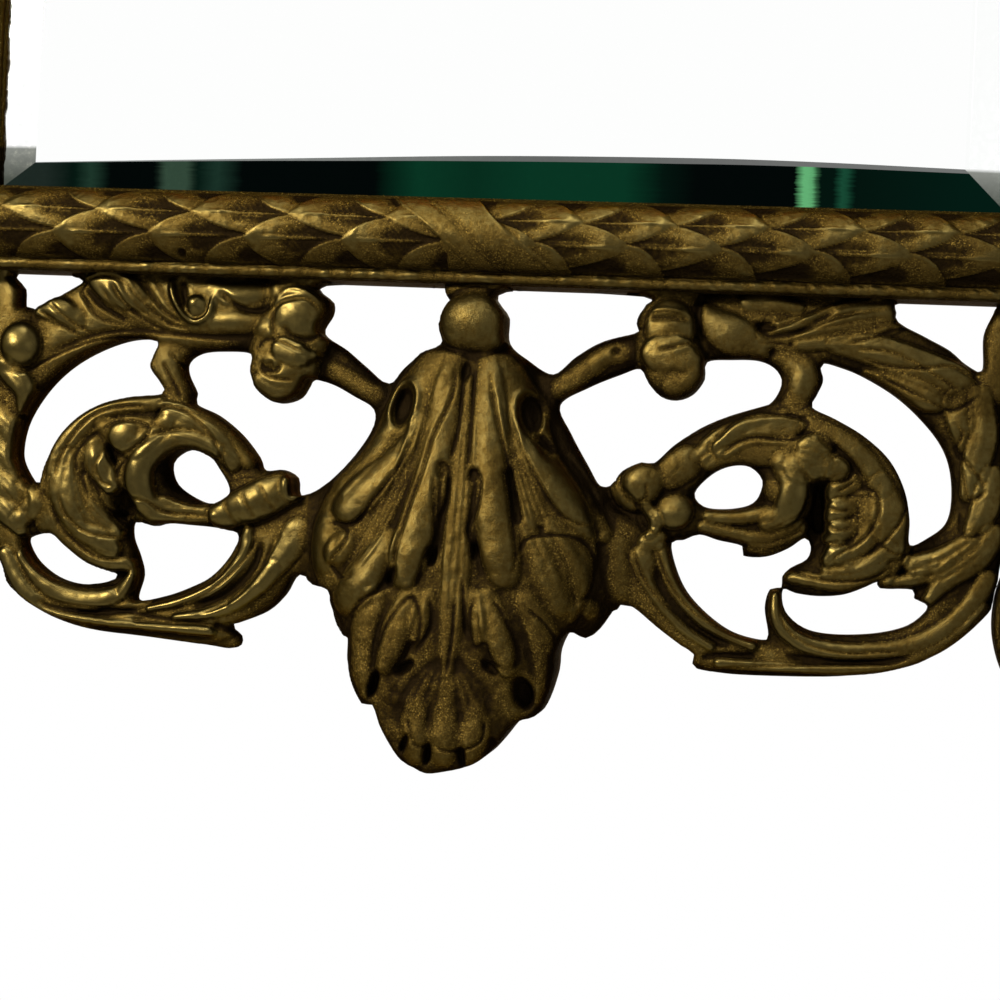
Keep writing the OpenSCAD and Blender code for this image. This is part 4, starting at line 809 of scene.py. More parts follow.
def boss_tier(r):
    """The lower tier of leaves."""
    r.ridge([[-31, -99, 3.4, 1.2], [-35, -110, 4.8, 2.4], [-36, -122, 4.2, 2.4], [-34, -130, 2.6, 1.6]],
            0.6)
    r.ridge([[18, -98, 3.4, 1.2], [23.5, -109, 5, 2.4], [25.5, -121, 4.4, 2.4], [24, -130, 2.8, 1.6]],
            0.6)
    r.ridge([[-14, -98, 2.8, 1.2], [-15.5, -106, 3.4, 2.4], [-17, -112, 2.2, 1.8]], 0.55, 1)
    r.ridge([[1, -97, 2.6, 1.2], [2.8, -106, 3, 2.2], [3.2, -112, 2, 1.6]], 0.55)
    r.ridge([[-19.5, -97, 3.4, 1.4], [-22.5, -106, 4.8, 2.8], [-25.5, -115, 4.6, 3.4],
             [-27.3, -121, 3, 2.8]], 0.5)
    r.ridge([[5.5, -97, 3.2, 1.4], [8.2, -106, 4.8, 2.8], [11, -114, 4.6, 3.4], [12.8, -120, 3, 2.8]],
            0.5)
    r.pit(-31, -127.5, 1.3, 4.4, 5, 28, -18)
    r.pit(17.5, -128, 3, 5, 6, 29, 15)
    r.pit(-21, -121.5, 3.4, 1.5, 2.8, 30, 35)
    r.pit(7, -120, 3.2, 1.4, 2.4, 30, -40)


def boss_tip(r):
    """The tip that curls forward."""
    for x in (-16, -6.5, 3):
        r.ridge([[-6.5 + 0.5 * (x + 6.5), -124, 3, 0.6], [x, -135, 4.6, 2], [x, -143, 5, 2.8],
                 [x, -149, 4, 2.2]], 0.7)
    r.fan([[-9, -117], [-16, -123], [-22, -132]], [[-7.5, -118], [-9, -125], [-10, -134]], 4, 0.7, 0.35, 30)
    r.fan([[-5, -117], [2, -123], [9, -132]], [[-6, -118], [-4, -125], [-2, -134]], 4, 0.7, 0.35, 30)
    for x, z, tilt in ((-20, -146, -20), (-12.5, -149, -8), (-1, -149.5, 5), (9, -146, 20)):
        r.pit(x, z, 1.1, 3.2, 3.6, 31, tilt)


def carve_boss(r):
    """The hanging acanthus leaf with its ball, petals, ribbed stem and curled tip."""
    boss_body(r)
    boss_ball(r)
    boss_petals(r)
    boss_hollows(r)
    boss_ribs(r)
    boss_eyes(r)
    boss_lobes(r)
    boss_tier(r)
    boss_tip(r)


# Dirty places on the scrolls and beside the boss's stem, as [x, z, radius], and the boss's large leaf
SOILED = ((-67, -66, 12), (-77, -22, 13), (62, -60, 13), (66, -26, 14), (-22, -129, 8), (9.5, -130, 8))
LARGE_LEAF = (30, -87, 13)


def soil_place(r, x, z, radius):
    """Dirt over a round place, with a soft edge."""
    r.soil += 0.10 * np.exp(-(r.away(x, z) / radius) ** 4)


def soil_apron(r):
    """The lower half of the boss is the dirtiest, then its large leaf. The left scroll is the cleanest."""
    x, z = r.x[None, :], r.z[:, None]
    r.soil = 0.22 * np.clip((-z - 92) / 25, 0, 1) * (np.abs(x + 4) < 47)
    r.soil += 0.10 * (r.away(-4, -66, 50, 70) < 1)
    soil_place(r, *LARGE_LEAF)
    r.soil -= 0.11 * np.clip((-x - 48) / 8, 0, 1)
    for place in SOILED:
        soil_place(r, *place)


# The oval within which the boss is hollow behind: its middle and its radii
HOLLOW = (-4.5, -92, 34, 52)


def hollow_boss(r):
    """The boss is hollow behind, within an oval."""
    inner = np.clip((r.edge - BOSS_WALL) / 4, 0, 1)
    oval = np.clip(1.5 - 1.5 * r.away(*HOLLOW), 0, 1)
    depth = np.maximum(blur(r.h, 3 / r.step) - BOSS_WALL, 0)
    r.hollow = depth * inner * np.sqrt(np.clip(2 * oval, 0, 1))


# The apron: how far it reaches beyond the boss's joints, its lowest place, its least ground, and how
# firmly the scrolls' forms and then the boss's stand out from what lies under them
REACH_LEFT, REACH_RIGHT, APRON_FOOT = 122, 127, -156
GROUND, SCROLL_PRESS, BOSS_PRESS = 5.0, 0.7, 1.0


def apron_relief(step, seed):
    """The whole pierced apron of one side: two scrolls and the boss between them."""
    # The grid has a column at each joint
    low = JOINT_LEFT - math.ceil(REACH_LEFT / step) * step
    high = JOINT_RIGHT + math.ceil(REACH_RIGHT / step) * step
    r = Relief(low, high, APRON_FOOT, SEAT_Z, step)
    for band in BANDS:
        r.stroke(band, 0.42 * band[1][3], wider=2.5, seen=False)
    r.h = np.maximum(r.h, GROUND)
    r.press = SCROLL_PRESS
    carve_left(r)
    carve_right(r)
    r.press = BOSS_PRESS
    carve_boss(r)
    soil_apron(r)
    r.score(LEFT_LINES, 0.5, 1.0, 13)
    r.score(RIGHT_LINES, 0.5, 1.0, 13)
    r.score(BOSS_LINES, 0.55, 1.1, 27)
    for outline, height in ((LEFT_OUTLINE, 8), (RIGHT_OUTLINE, 8), (BOSS_OUTLINE, 12)):
        r.solid(outline, height)
    for points in HOLES:
        r.hole(points)
    hollow_boss(r)
    r.finish(seed)
    return r


# Each side's half length along the rail, its half distance across the sight, and its turn in degrees
SIDES = {"bottom": (SIGHT_W / 2, SIGHT_H / 2, 0), "top": (SIGHT_W / 2, SIGHT_H / 2, 180),
         "left": (SIGHT_H / 2, SIGHT_W / 2, 90), "right": (SIGHT_H / 2, SIGHT_W / 2, -90)}


def stretched(x, half):
    """The pattern stretched along the rail, beyond the joints, as part.scad does it."""
    left = (half + RAIL_W - abs(JOINT_LEFT)) / (PATTERN_HALF - abs(JOINT_LEFT))
    right = (half + RAIL_W - abs(JOINT_RIGHT)) / (PATTERN_HALF - abs(JOINT_RIGHT))
    out = np.where(x < JOINT_LEFT, JOINT_LEFT + (x - JOINT_LEFT) * left, x)
    return np.where(x > JOINT_RIGHT, JOINT_RIGHT + (x - JOINT_RIGHT) * right, out)


def turned(points, degrees):
    """Points of the bottom side turned about Y to another side of the frame."""
    c, s = round(math.cos(math.radians(degrees))), round(math.sin(math.radians(degrees)))
    x, y, z = points.T
    return np.stack([c * x + s * z, y, c * z - s * x], 1)


def mesh_object(name, points, faces, material, smooth=True, values=None):
    """A piece of the frame, from points in millimetres. The values say how worn a place is, with painted
    shade in them.
    """
    mesh = bpy.data.meshes.new(name)
    mesh.from_pydata((points * MM).tolist(), [], faces)
    mesh.polygons.foreach_set("use_smooth", [smooth] * len(mesh.polygons))
    if values is not None:
        mesh.attributes.new("wear_and_shade", "FLOAT", "POINT").data.foreach_set("value", values.astype(np.float32))
    mesh.materials.append(material)
    mesh.update()
    thing = bpy.data.objects.new(name, mesh)
    bpy.context.scene.collection.objects.link(thing)
    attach(thing, "frame")
    return thing


def filled_cells(ok):
    """The grid's cells with all four corners inside, and how many of them meet at each grid point."""
    cell = ok[:-1, :-1] & ok[1:, :-1] & ok[:-1, 1:] & ok[1:, 1:]
    count = np.zeros(ok.shape, int)
    for dj in (0, 1):
        for di in (0, 1):
            count[dj:dj + cell.shape[0], di:di + cell.shape[1]] += cell
    return cell, count


def numbered(mask, first):
    """Numbers from first on at the grid points of the mask, and -1 elsewhere."""
    index = np.full(mask.shape, -1)
    index[mask] = first + np.arange(mask.sum())
    return index


# The four neighbours of a cell, as steps in z and x, with the two corners of the side between them
NEIGHBOURS = ((-1, 0, (0, 1), (0, 0)), (1, 0, (1, 0), (1, 1)),
              (0, -1, (0, 0), (1, 0)), (0, 1, (1, 1), (0, 1)))


def side_walls(cell, edge, step, front, waist, back):
    """The faces round the outline, in two steps by way of the waist, and the flat faces at the joints."""
    pad = np.pad(cell, 1)
    walls, cuts = [], []
    for dj, di, a, b in NEIGHBOURS:
        j, i = np.nonzero(cell & ~pad[1 + dj:1 + dj + cell.shape[0], 1 + di:1 + di + cell.shape[1]])
        p, q = (j + a[0], i + a[1]), (j + b[0], i + b[1])
        at_cut = (edge[p] > step) & (edge[q] > step)
        cuts.append(np.stack([front[p], front[q], back[q], back[p]], 1)[at_cut])
        walls.append(np.stack([front[p], front[q], waist[q], waist[p]], 1)[~at_cut])
        walls.append(np.stack([waist[p], waist[q], back[q], back[p]], 1)[~at_cut])
    return walls, np.concatenate(cuts)


def cast_shell(r, low, high):
    """A closed shell between two places along the relief: points in the side's frame, faces, and how worn
    each point is, with painted shade.
    """
    i0, i1 = np.searchsorted(r.x, [low - 0.01, high + 0.01])
    cols = slice(i0, i1)
    edge, foot, worn, hollow = r.edge[:, cols], r.foot[:, cols], r.worn[:, cols], r.hollow[:, cols]
    cell, count = filled_cells(edge > -0.5 * r.step)
    used = count > 0
    rim = used & (count < 4)
    # The points of the rim move onto the outline, and those at a joint stay
    gz, gx = np.gradient(edge, r.step)
    norm = np.maximum(gx * gx + gz * gz, 0.25)
    move = np.where(rim & (edge < 1.2 * r.step), np.clip(edge, -r.step, r.step), 0)
    x = np.clip(r.x[cols][None, :] - move * gx / norm, r.x[i0], r.x[i1 - 1])
    z = np.minimum(r.z[:, None] - move * gz / norm, r.z[-1])
    open_rim = rim & (move != 0)
    h = np.where(open_rim, foot, r.h[:, cols])
    n, m = int(used.sum()), int(rim.sum())
    front, back, waist = numbered(used, 0), numbered(used, n), numbered(rim, 2 * n)
    points = np.concatenate([
        np.stack([x[used], CAST_BACK - h[used], z[used]], 1),
        np.stack([x[used], CAST_BACK - np.where(rim, 0, hollow)[used], z[used]], 1),
        np.stack([x[rim], CAST_BACK - 0.5 * h[rim], z[rim]], 1)])
    # The points round the open outline are darker, and the side walls' waist is kept dark: grime and painted
    # shade where the surface turns down into the wall
    worn = np.where(open_rim, 0.6 * worn, worn)
    wear_and_shade = np.concatenate([worn[used], np.full(n, WEAR_BACK), np.full(m, WAIST_DIRT_AND_SHADE)])
    j, i = np.nonzero(cell)
    quads = [np.stack([front[j, i], front[j, i + 1], front[j + 1, i + 1], front[j + 1, i]], 1),
             np.stack([back[j, i], back[j + 1, i], back[j + 1, i + 1], back[j, i + 1]], 1)]
    walls, cut = side_walls(cell, edge, r.step, front, waist, back)
    # The flat faces at a joint have points of their own, so that the shading runs on across the joint
    own = len(points) + np.arange(cut.size).reshape(cut.shape)
    points = np.concatenate([points, points[cut.ravel()]])
    wear_and_shade = np.concatenate([wear_and_shade, np.full(cut.size, WEAR_JOINT)])
    return points, np.concatenate(quads + walls + [own]).tolist(), wear_and_shade


def cast_piece(name, points, faces, material, wear_and_shade):
    """A cast piece of the frame, in place of its CAD node."""
    thing = mesh_object(f"{name}_cast", points, faces, material, values=wear_and_shade)
    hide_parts(name)


def casting(name, r, low, high, side, material):
    """One casting of a side."""
    points, faces, wear_and_shade = cast_shell(r, low, high)
    half, other, degrees = SIDES[side]
    points[:, 0] = stretched(points[:, 0], half)
    points[:, 2] -= SEAT_Z + RAIL_W + other
    cast_piece(name, turned(points, degrees), faces, material, wear_and_shade)


# The rail's section, as distances out from the sight and heights. The walls run from the bead round the
# back and through the rebate to the roll
ROLL_MID, ROLL_HALF, ROLL_TOP, STEP_Y = 12.2, 11.2, -29.9, -20.9
BEAD_R, BEAD_OUT, BEAD_Y, BEAD_POINTS = 1.8, 25.2, -19.98, 9
RAIL_WALLS = [[27, -17.28], [27, -13], [27, -6], [27, 0], [23, 0], [23, -9], [7, -9], [7, -17.08],
              [0, -17.08], [0, -19.68], [1.0, -20.6]]
# The mark of a rivet in the bottom rail: its place along and across the rail, its radius and its depth
RIVET_X, RIVET_OUT, RIVET_R, RIVET_DEPTH = -96, 21, 1.4, 1.0

# The laurel leaves: their length, half of the way between rows, and how much wider a leaf is than that
LEAF_LONG, LEAF_HALF, LEAF_SPREAD = 36.0, 9.2, 1.08
# Each half's pitch along the rail, and for each row its distance out from the sight, its first tip,
# and how slowly its leaves widen from the tip on their inner and outer edges
LEFT_ROWS = (31.5, ((0.2, 3.0, 9, 8), (7.8, 22.0, 8, 15), (15.4, 4.4, 9, 5.5), (23.0, 18.5, 8, 9)))
RIGHT_ROWS = (28.8, ((0.2, 26.0, 9, 8), (7.8, 11.7, 8, 13), (15.4, 26.9, 10, 16), (23.0, 8.2, 4.5, 9)))
CENTRE_X = -8.0
# The ribbons over the middle, as places along and across the rail, and their half widths
RIBBONS = (([[-28, -4], [-23.2, 0.8], [-17, 5.2], [-11.5, 9.6], [0.1, 19.3], [8.9, 27]], 3.8),
           ([[-17, -5], [-10.5, 0.8], [-4, 6.0], [0.8, 11], [9, 18], [18.6, 24.6], [23, 28.5]], 5.4))
RIBBON_RISE, RIBBON_POLISH = 2.0, 0.7


def leaf_form(a, b, u):
    """A leaf's height, polish, and dark outline of grime and painted crease shade, by the place back from its
    tip, across it, and its share.
    """
    base = np.clip(a / LEAF_LONG, 0, 1)
    top = (0.7 + 0.3 * np.clip(a / 4, 0, 1)) * (1.7 - 1.4 * base) * (1 - 0.35 * u ** 2.5)
    # A hollow with slanting cuts lies on each side of the midrib, behind a smooth tip
    hollow = np.clip((a - 10) / 5, 0, 1) * np.clip(1 - (u / 0.55) ** 2, 0, 1)
    rim = np.exp(-((u - 0.88) / 0.05) ** 2)
    cuts = 0.5 + 0.5 * np.sin((a - b * 0.9) * 3.2)
    midrib = np.exp(-(b / 0.4) ** 2) * np.clip((a - 4) / 4, 0, 1)
    # The dark line along the leaf's edge is grime and painted crease shade where it meets the leaf beneath
    line = np.clip((u - 0.93) / 0.05, 0, 1)
    top += 0.55 * midrib - 0.45 * hollow - 0.14 * hollow * cuts + 0.15 * rim
    shine = np.clip(1.05 - a / 45, 0.4, 1) - (0.45 + 0.25 * cuts) * hollow + 0.6 * midrib + 0.4 * rim - line
    return top, shine, line


def leaf_height(x, r):
    """Laurel leaves over the roll: their height and their polish, by place along and across the rail."""
    height, polish = np.zeros(x.shape), np.zeros(x.shape)
    for side, (pitch, rows) in ((-1, LEFT_ROWS), (1, RIGHT_ROWS)):
        along = side * (x - CENTRE_X)
        for row_r, first, slow_in, slow_out in rows:
            b = r - row_r
            slow = np.where(b < 0, slow_in, slow_out)
            k0 = np.floor((along - first) / pitch)
            for k in (k0 + 1, k0 + 2):
                a = first + k * pitch - along
                width = LEAF_SPREAD * LEAF_HALF * (1 - np.exp(-np.maximum(a, 0) / slow))
                u = np.where((a > 0) & (a < LEAF_LONG) & (along > -2), np.abs(b) / np.maximum(width, 0.01), 9)
                top, shine, line = leaf_form(a, b, u)
                better = (u < 1) & (top > height)
                polish = np.where(better, shine, polish)
                height = np.where(better, top - 0.25 * line, height)
    return tie_ribbons(x, r, height, polish)


def tie_ribbons(x, r, height, polish):
    """The two ribbons that cross the leaves at the middle, over what is there."""
    near = np.abs(x - 2) < 40
    for points, half in RIBBONS:
        p = curve(points, 1.0)
        d = np.full(x.shape, Relief.FAR)
        d[near] = np.hypot(x[near][:, None] - p[:, 0], r[near][:, None] - p[:, 1]).min(1)
        u = np.clip(d / half, 0, 1)
        form = RIBBON_RISE - 0.5 * u ** 2 + 0.3 * np.exp(-((u - 0.9) / 0.07) ** 2)
        height = np.where(u < 1, form, height)
        polish = np.where(u < 1, RIBBON_POLISH, polish)
    return height, polish


def rail_section(step):
    """The section, its outward directions, how far leaves may rise, and the roll's and bead's rows."""
    radius = (ROLL_HALF ** 2 + (STEP_Y - ROLL_TOP) ** 2) / (2 * (STEP_Y - ROLL_TOP))
    reach = math.asin(ROLL_HALF / radius)
    rows = round(2 * reach * radius / step)
    a = np.linspace(-reach, reach, rows + 1)
    b = np.linspace(math.radians(150), math.radians(-60), BEAD_POINTS)
    on_roll, on_bead = slice(0, rows + 1), slice(rows + 1, rows + 1 + BEAD_POINTS)
    section = np.concatenate([
        np.stack([ROLL_MID + radius * np.sin(a), ROLL_TOP + radius * (1 - np.cos(a))], 1),
        np.stack([BEAD_OUT + BEAD_R * np.cos(b), BEAD_Y - BEAD_R * np.sin(b)], 1), RAIL_WALLS])
    normal = np.zeros(section.shape)
    normal[on_roll] = np.stack([np.sin(a), -np.cos(a)], 1)
    normal[on_bead] = np.stack([np.cos(b), -np.sin(b)], 1)
    return section, normal, np.clip(4 * (1 - np.abs(a / reach)), 0, 1)[None, :], on_roll, on_bead


def rail_wear_and_shade(relief, polish, r, step, on_roll, on_bead):
    """Wear of a rail: bright along the roll's crown, darker towards both of its edges as painted shade where
    the roll turns away, and darker on the back.
    """
    wear_and_shade = 0.35 + 0.5 * (relief - blur(relief, 3.0 / step)) + 0.05 * relief
    # Darker towards the roll's outer and inner edges: painted shade where the roll turns away from the light
    wear_and_shade[:, on_roll] += 0.34 * polish - 0.12 - 0.22 * np.clip((r[:, on_roll] - 14) / 8, 0, 1)
    wear_and_shade[:, on_roll] -= 0.2 * np.clip((4 - r[:, on_roll]) / 3, 0, 1)
    wear_and_shade[:, on_bead] = 0.56 + 0.9 * relief[:, on_bead]
    wear_and_shade = np.clip(wear_and_shade, 0.05, 1)
    wear_and_shade[:, on_bead.stop:] = WEAR_RAIL_BACK
    return wear_and_shade


def rail(name, side, material, step, seed):
    """A mitred rail: the moulding's section, with laurel leaves on its roll and a rough bead."""
    half, other, degrees = SIDES[side]
    section, normal, fade, on_roll, on_bead = rail_section(step)
    count = round((2 * (half + RAIL_W)) / step)
    r = section[:, 0][None, :]
    x = np.linspace(-1, 1, count + 1)[:, None] * (half + r)
    leaf, polish = leaf_height(x[:, on_roll], np.broadcast_to(r[:, on_roll], x[:, on_roll].shape))
    noise = grain(x.shape, 1.6 / step * 0.5, seed)
    relief = np.zeros(x.shape)
    relief[:, on_roll] = (leaf - 1.0) * fade
    relief[:, on_bead] = 0.10 * noise[:, on_bead]
    relief[:, on_roll] += 0.05 * noise[:, on_roll] * fade
    if side == "bottom":
        relief -= RIVET_DEPTH * (np.hypot(x - RIVET_X, r - RIVET_OUT) < RIVET_R)
    wear_and_shade = rail_wear_and_shade(relief, polish, r, step, on_roll, on_bead)
    y = section[:, 1][None, :] + relief * normal[:, 1][None, :]
    z = -(other + (r + relief * normal[:, 0][None, :]))
    points = np.stack([x, y, z], -1).reshape(-1, 3)
    m = len(section)
    i, j = np.meshgrid(np.arange(count), np.arange(m), indexing="ij")
    jn = (j + 1) % m
    quads = np.stack([i * m + j, (i + 1) * m + j, (i + 1) * m + jn, i * m + jn], -1).reshape(-1, 4).tolist()
    ends = [list(range(m - 1, -1, -1)), [count * m + k for k in range(m)]]
    cast_piece(name, turned(points, degrees), quads + ends, material, wear_and_shade.ravel())


# The palmettes' leaves, as [x, z, half width, height] out from the frame's corner
FAN_MID = [[2, -2, 12, 15], [24, -24, 14, 18], [46, -46, 18, 19], [66, -66, 15, 19], [84, -84, 3, 17]]
FAN_NEAR = [[4, -8, 9, 12], [15, -34, 11, 16], [26, -62, 15, 17], [35, -88, 14, 16], [40, -110, 3, 14]]
FAN_SIDE = [[-8, 6, 8, 10], [-7.5, -22, 7.5, 12], [-7.5, -46, 8, 13], [-9, -70, 8.5, 14],
            [-12.5, -92, 12, 15], [-13, -108, 10.5, 15], [-11.5, -126, 3, 13]]
# The button that the leaves spring from, and the block that meets the rails
BUTTON_X, BUTTON_Z, BUTTON_R, BUTTON_TOP = 4, -4, 13, 22
BLOCK_HALF, BLOCK_TOP = 16, 8
# How far the palmette's grid reaches out over the corner, and in over the rails
FAN_OUT, FAN_IN = 132, 32


def swapped(places):
    """A leaf's mirror image across the corner's diagonal."""
    return [[-p[1], -p[0], p[2], p[3]] for p in places]


def vein_leaf(r, leaf):
    """A leaf's ribbed upper face, the notches along both of its edges, and its raised midrib."""
    p = np.array(leaf, float)
    upper = [[q[0], q[1], 0.84 * q[2], q[3] + 0.5] for q in p]
    r.stroke(upper, 4.0, 1.2, seen=False, lines=3, line_depth=1.0)
    line = curve(p, 4.0)
    way = np.gradient(line[:, :2], axis=0)
    way /= np.hypot(way[:, 0], way[:, 1])[:, None]
    for k in range(8, len(line) - 2, 5):
        c, t, w = line[k, :2], way[k], 0.8 * line[k, 2]
        for sign in (-1, 1):
            out = np.array([-t[1], t[0]]) * sign
            notch = [c - 3 * t + out * 0.2 * w, c + out * 0.6 * w, c + 3 * t + out * w]
            r.groove(notch, 0.9, 1.0, seen=False)
    r.groove(p[:, :2].tolist(), 1.0, -0.9, seen=False)


def palmette_relief(step, seed):
    """Five acanthus leaves that fan out from the frame's corner."""
    r = Relief(-FAN_IN, FAN_OUT, -FAN_OUT, FAN_IN, step)
    leaves = (FAN_SIDE, swapped(FAN_SIDE), FAN_NEAR, swapped(FAN_NEAR), FAN_MID)
    for leaf in leaves:
        win, d, _, _, (w, _) = r.near(curve(leaf), 6.0)
        r.edge[win] = np.maximum(r.edge[win], w - d)
        r.stroke(leaf, 0.4 * leaf[1][3], wider=1.5, seen=False)
    for leaf in leaves:
        vein_leaf(r, leaf)
    r.dome(BUTTON_X, BUTTON_Z, BUTTON_R, BUTTON_R, BUTTON_TOP, 9, 0, 1.5, seen=False)
    gx, gz = r.x[None, :], r.z[:, None]
    r.edge = np.maximum(r.edge, BUTTON_R - r.away(BUTTON_X, BUTTON_Z))
    block = np.minimum(BLOCK_HALF - np.abs(gx), BLOCK_HALF - np.abs(gz))
    r.h = np.where((block > 0) & (r.h < BLOCK_TOP), BLOCK_TOP, r.h)
    r.edge = np.maximum(r.edge, block)
    # Nothing reaches over the rails
    r.edge = np.minimum(r.edge, np.maximum(gx, -gz))
    r.h = np.maximum(r.h, GROUND)
    r.hollow = np.zeros(r.h.shape)
    r.finish(seed)
    return r


def palmette(name, shell, sx, sz, material):
    """One palmette. The signs say which corner it is at."""
    points, faces, wear_and_shade = shell
    corner = np.array([SIGHT_W / 2 + RAIL_W, 0, -SIGHT_H / 2 - RAIL_W])
    placed = (points + corner) * [sx, 1, -sz]
    if sx * -sz < 0:
        faces = [f[::-1] for f in faces]
    cast_piece(name, placed, faces, material, wear_and_shade)


# The lower bevel's upper edge, as the photograph shows it, and the arris above it: place along, width
LOWER_BEVEL = [[-148.9, 37.0], [-110, 38.6], [-60, 40.5], [0, 42.7], [60, 43.6], [100, 43.4], [148.5, 42.2]]
ARRIS_X, ARRIS_W = [-149, -70, 0, 60, 149], [0.3, 0.8, 1.7, 2.0, 1.8]
ARRIS_REST, ARRIS_DROP = 0.4, 0.05


def mirror_plate(looks):
    """Clear plate: a flat mirror, a bevel painted with dark green reflections, and ground edges."""
    half_w, half_h = SIGHT_W / 2 + REBATE_R - GLASS_GAP, SIGHT_H / 2 + REBATE_R - GLASS_GAP
    low = curve(LOWER_BEVEL, 12)
    low[:, 1] -= SEAT_Z + RAIL_W + SIGHT_H / 2
    top = SIGHT_H / 2 - BEVEL_W
    n = len(low)
    flat = np.concatenate([low, [[low[-1, 0], top], [low[0, 0], top]]])
    share = (low[:, 0] - low[0, 0]) / (low[-1, 0] - low[0, 0])
    rim_low = np.stack([-half_w + 2 * half_w * share, np.full(n, -half_h)], 1)
    rim = np.concatenate([rim_low, [[half_w, half_h], [-half_w, half_h]]])
    outward = (rim - flat) / np.hypot(*(rim - flat).T)[:, None]
    arris = np.full(n + 2, ARRIS_REST)
    arris[:n] = np.interp(low[:, 0], ARRIS_X, ARRIS_W)
    rings = [(flat, GLASS_FRONT), (flat + arris[:, None] * outward, GLASS_FRONT + ARRIS_DROP),
             (rim, GLASS_FRONT + BEVEL_DROP), (rim, GLASS_FRONT + GLASS_T)]
    points = np.concatenate([np.insert(ring, 1, y, 1) for ring, y in rings])
    face, edge, bevel, side_bevel = range(4)
    m = n + 2
    faces, index = [list(range(m))], [face]
    for k, look in enumerate((edge, bevel, edge)):
        for i in range(m):
            j = (i + 1) % m
            faces.append([m * (k + 1) + i, m * (k + 1) + j, m * k + j, m * k + i])
            upright = k < 2 and i in (n - 1, n + 1)
            index.append(side_bevel if upright else look)
    faces.append([4 * m - 1 - i for i in range(m)])
    thing = mesh_object("mirror_plate", points, faces, looks["mirror"], smooth=False)
    for name in ("arris", "bevel", "bevel_side"):
        thing.data.materials.append(looks[name])
    thing.data.polygons.foreach_set("material_index", index + [edge])
    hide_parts("mirror_glass")


class Look:
    """A node material with short calls for the nodes that the finishes share."""

    def __init__(self, name):
        self.material = bpy.data.materials.new(name)
        self.material.use_nodes = True
        self.tree = self.material.node_tree
        self.shader = self.tree.nodes["Principled BSDF"]

    def node(self, kind, **inputs):
        """A new node. Names of sockets are written with underscores, and other names are its properties."""
        n = self.tree.nodes.new(kind)
        for key, value in inputs.items():
            name = key.replace("_", " ")
            if name in n.inputs:
                self.put(n.inputs[name], value)
            else:
                setattr(n, key, value)
        return n

    def put(self, socket, value):
        """Links a socket to another, or sets its own value."""
        if isinstance(value, bpy.types.NodeSocket):
            self.tree.links.new(value, socket)
        else:
            socket.default_value = value

    def noise(self, place, scale, detail=4.0, roughness=0.55):
        return self.node("ShaderNodeTexNoise", Vector=place, Scale=scale, Detail=detail,
                         Roughness=roughness).outputs["Fac"]

    def object_place(self, scale=(1, 1, 1)):
        place = self.node("ShaderNodeTexCoord").outputs["Object"]
        return self.node("ShaderNodeMapping", Vector=place, Scale=scale).outputs["Vector"]

    def ramp(self, value, stops):
        n = self.node("ShaderNodeValToRGB", Fac=value)
        for k, (at, colour) in enumerate(stops):
            stop = n.color_ramp.elements[k] if k < 2 else n.color_ramp.elements.new(at)
            stop.position = at
            stop.color = (*colour, 1)
        return n.outputs["Color"]

    def math(self, operation, a, b, clamp=False):
        n = self.node("ShaderNodeMath", operation=operation, use_clamp=clamp)
        self.put(n.inputs[0], a)
        self.put(n.inputs[1], b)
        return n.outputs["Value"]

    def map(self, value, from_low, from_high, low, high):
        n = self.node("ShaderNodeMapRange", Value=value)
        for key, v in (("From Min", from_low), ("From Max", from_high), ("To Min", low), ("To Max", high)):
            n.inputs[key].default_value = v
        return n.outputs["Result"]

    def mix(self, share, first, second):
        n = self.node("ShaderNodeMix", data_type="RGBA")
        colour_a, colour_b, colour_out = 6, 7, 2
        self.put(n.inputs["Factor"], share)
        self.put(n.inputs[colour_a], first)
        self.put(n.inputs[colour_b], second)
        return n.outputs[colour_out]

    def bump(self, height, distance, strength, normal=None):
        n = self.node("ShaderNodeBump", Height=height, Distance=distance, Strength=strength)
        if normal is not None:
            self.put(n.inputs["Normal"], normal)
        return n.outputs["Normal"]

    def set(self, **inputs):
        for key, value in inputs.items():
            self.put(self.shader.inputs[key.replace("_", " ")], value)


# Old brass by its wear, with painted shade in it: grime and shade, dull, plain, polished. Then the gold
# specks of the rough ground, painted bright as glints
BRASS_STOPS = [(0.10, (0.0055, 0.0034, 0.0013)), (0.32, (0.014, 0.0086, 0.0020)),
               (0.52, (0.0265, 0.0168, 0.0036)), (0.80, (0.0395, 0.0290, 0.0085))]
GOLD_GRAIN_GLINT, BRASS_TINT = (0.20, 0.130, 0.027, 1), (0.30, 0.22, 0.09, 1)


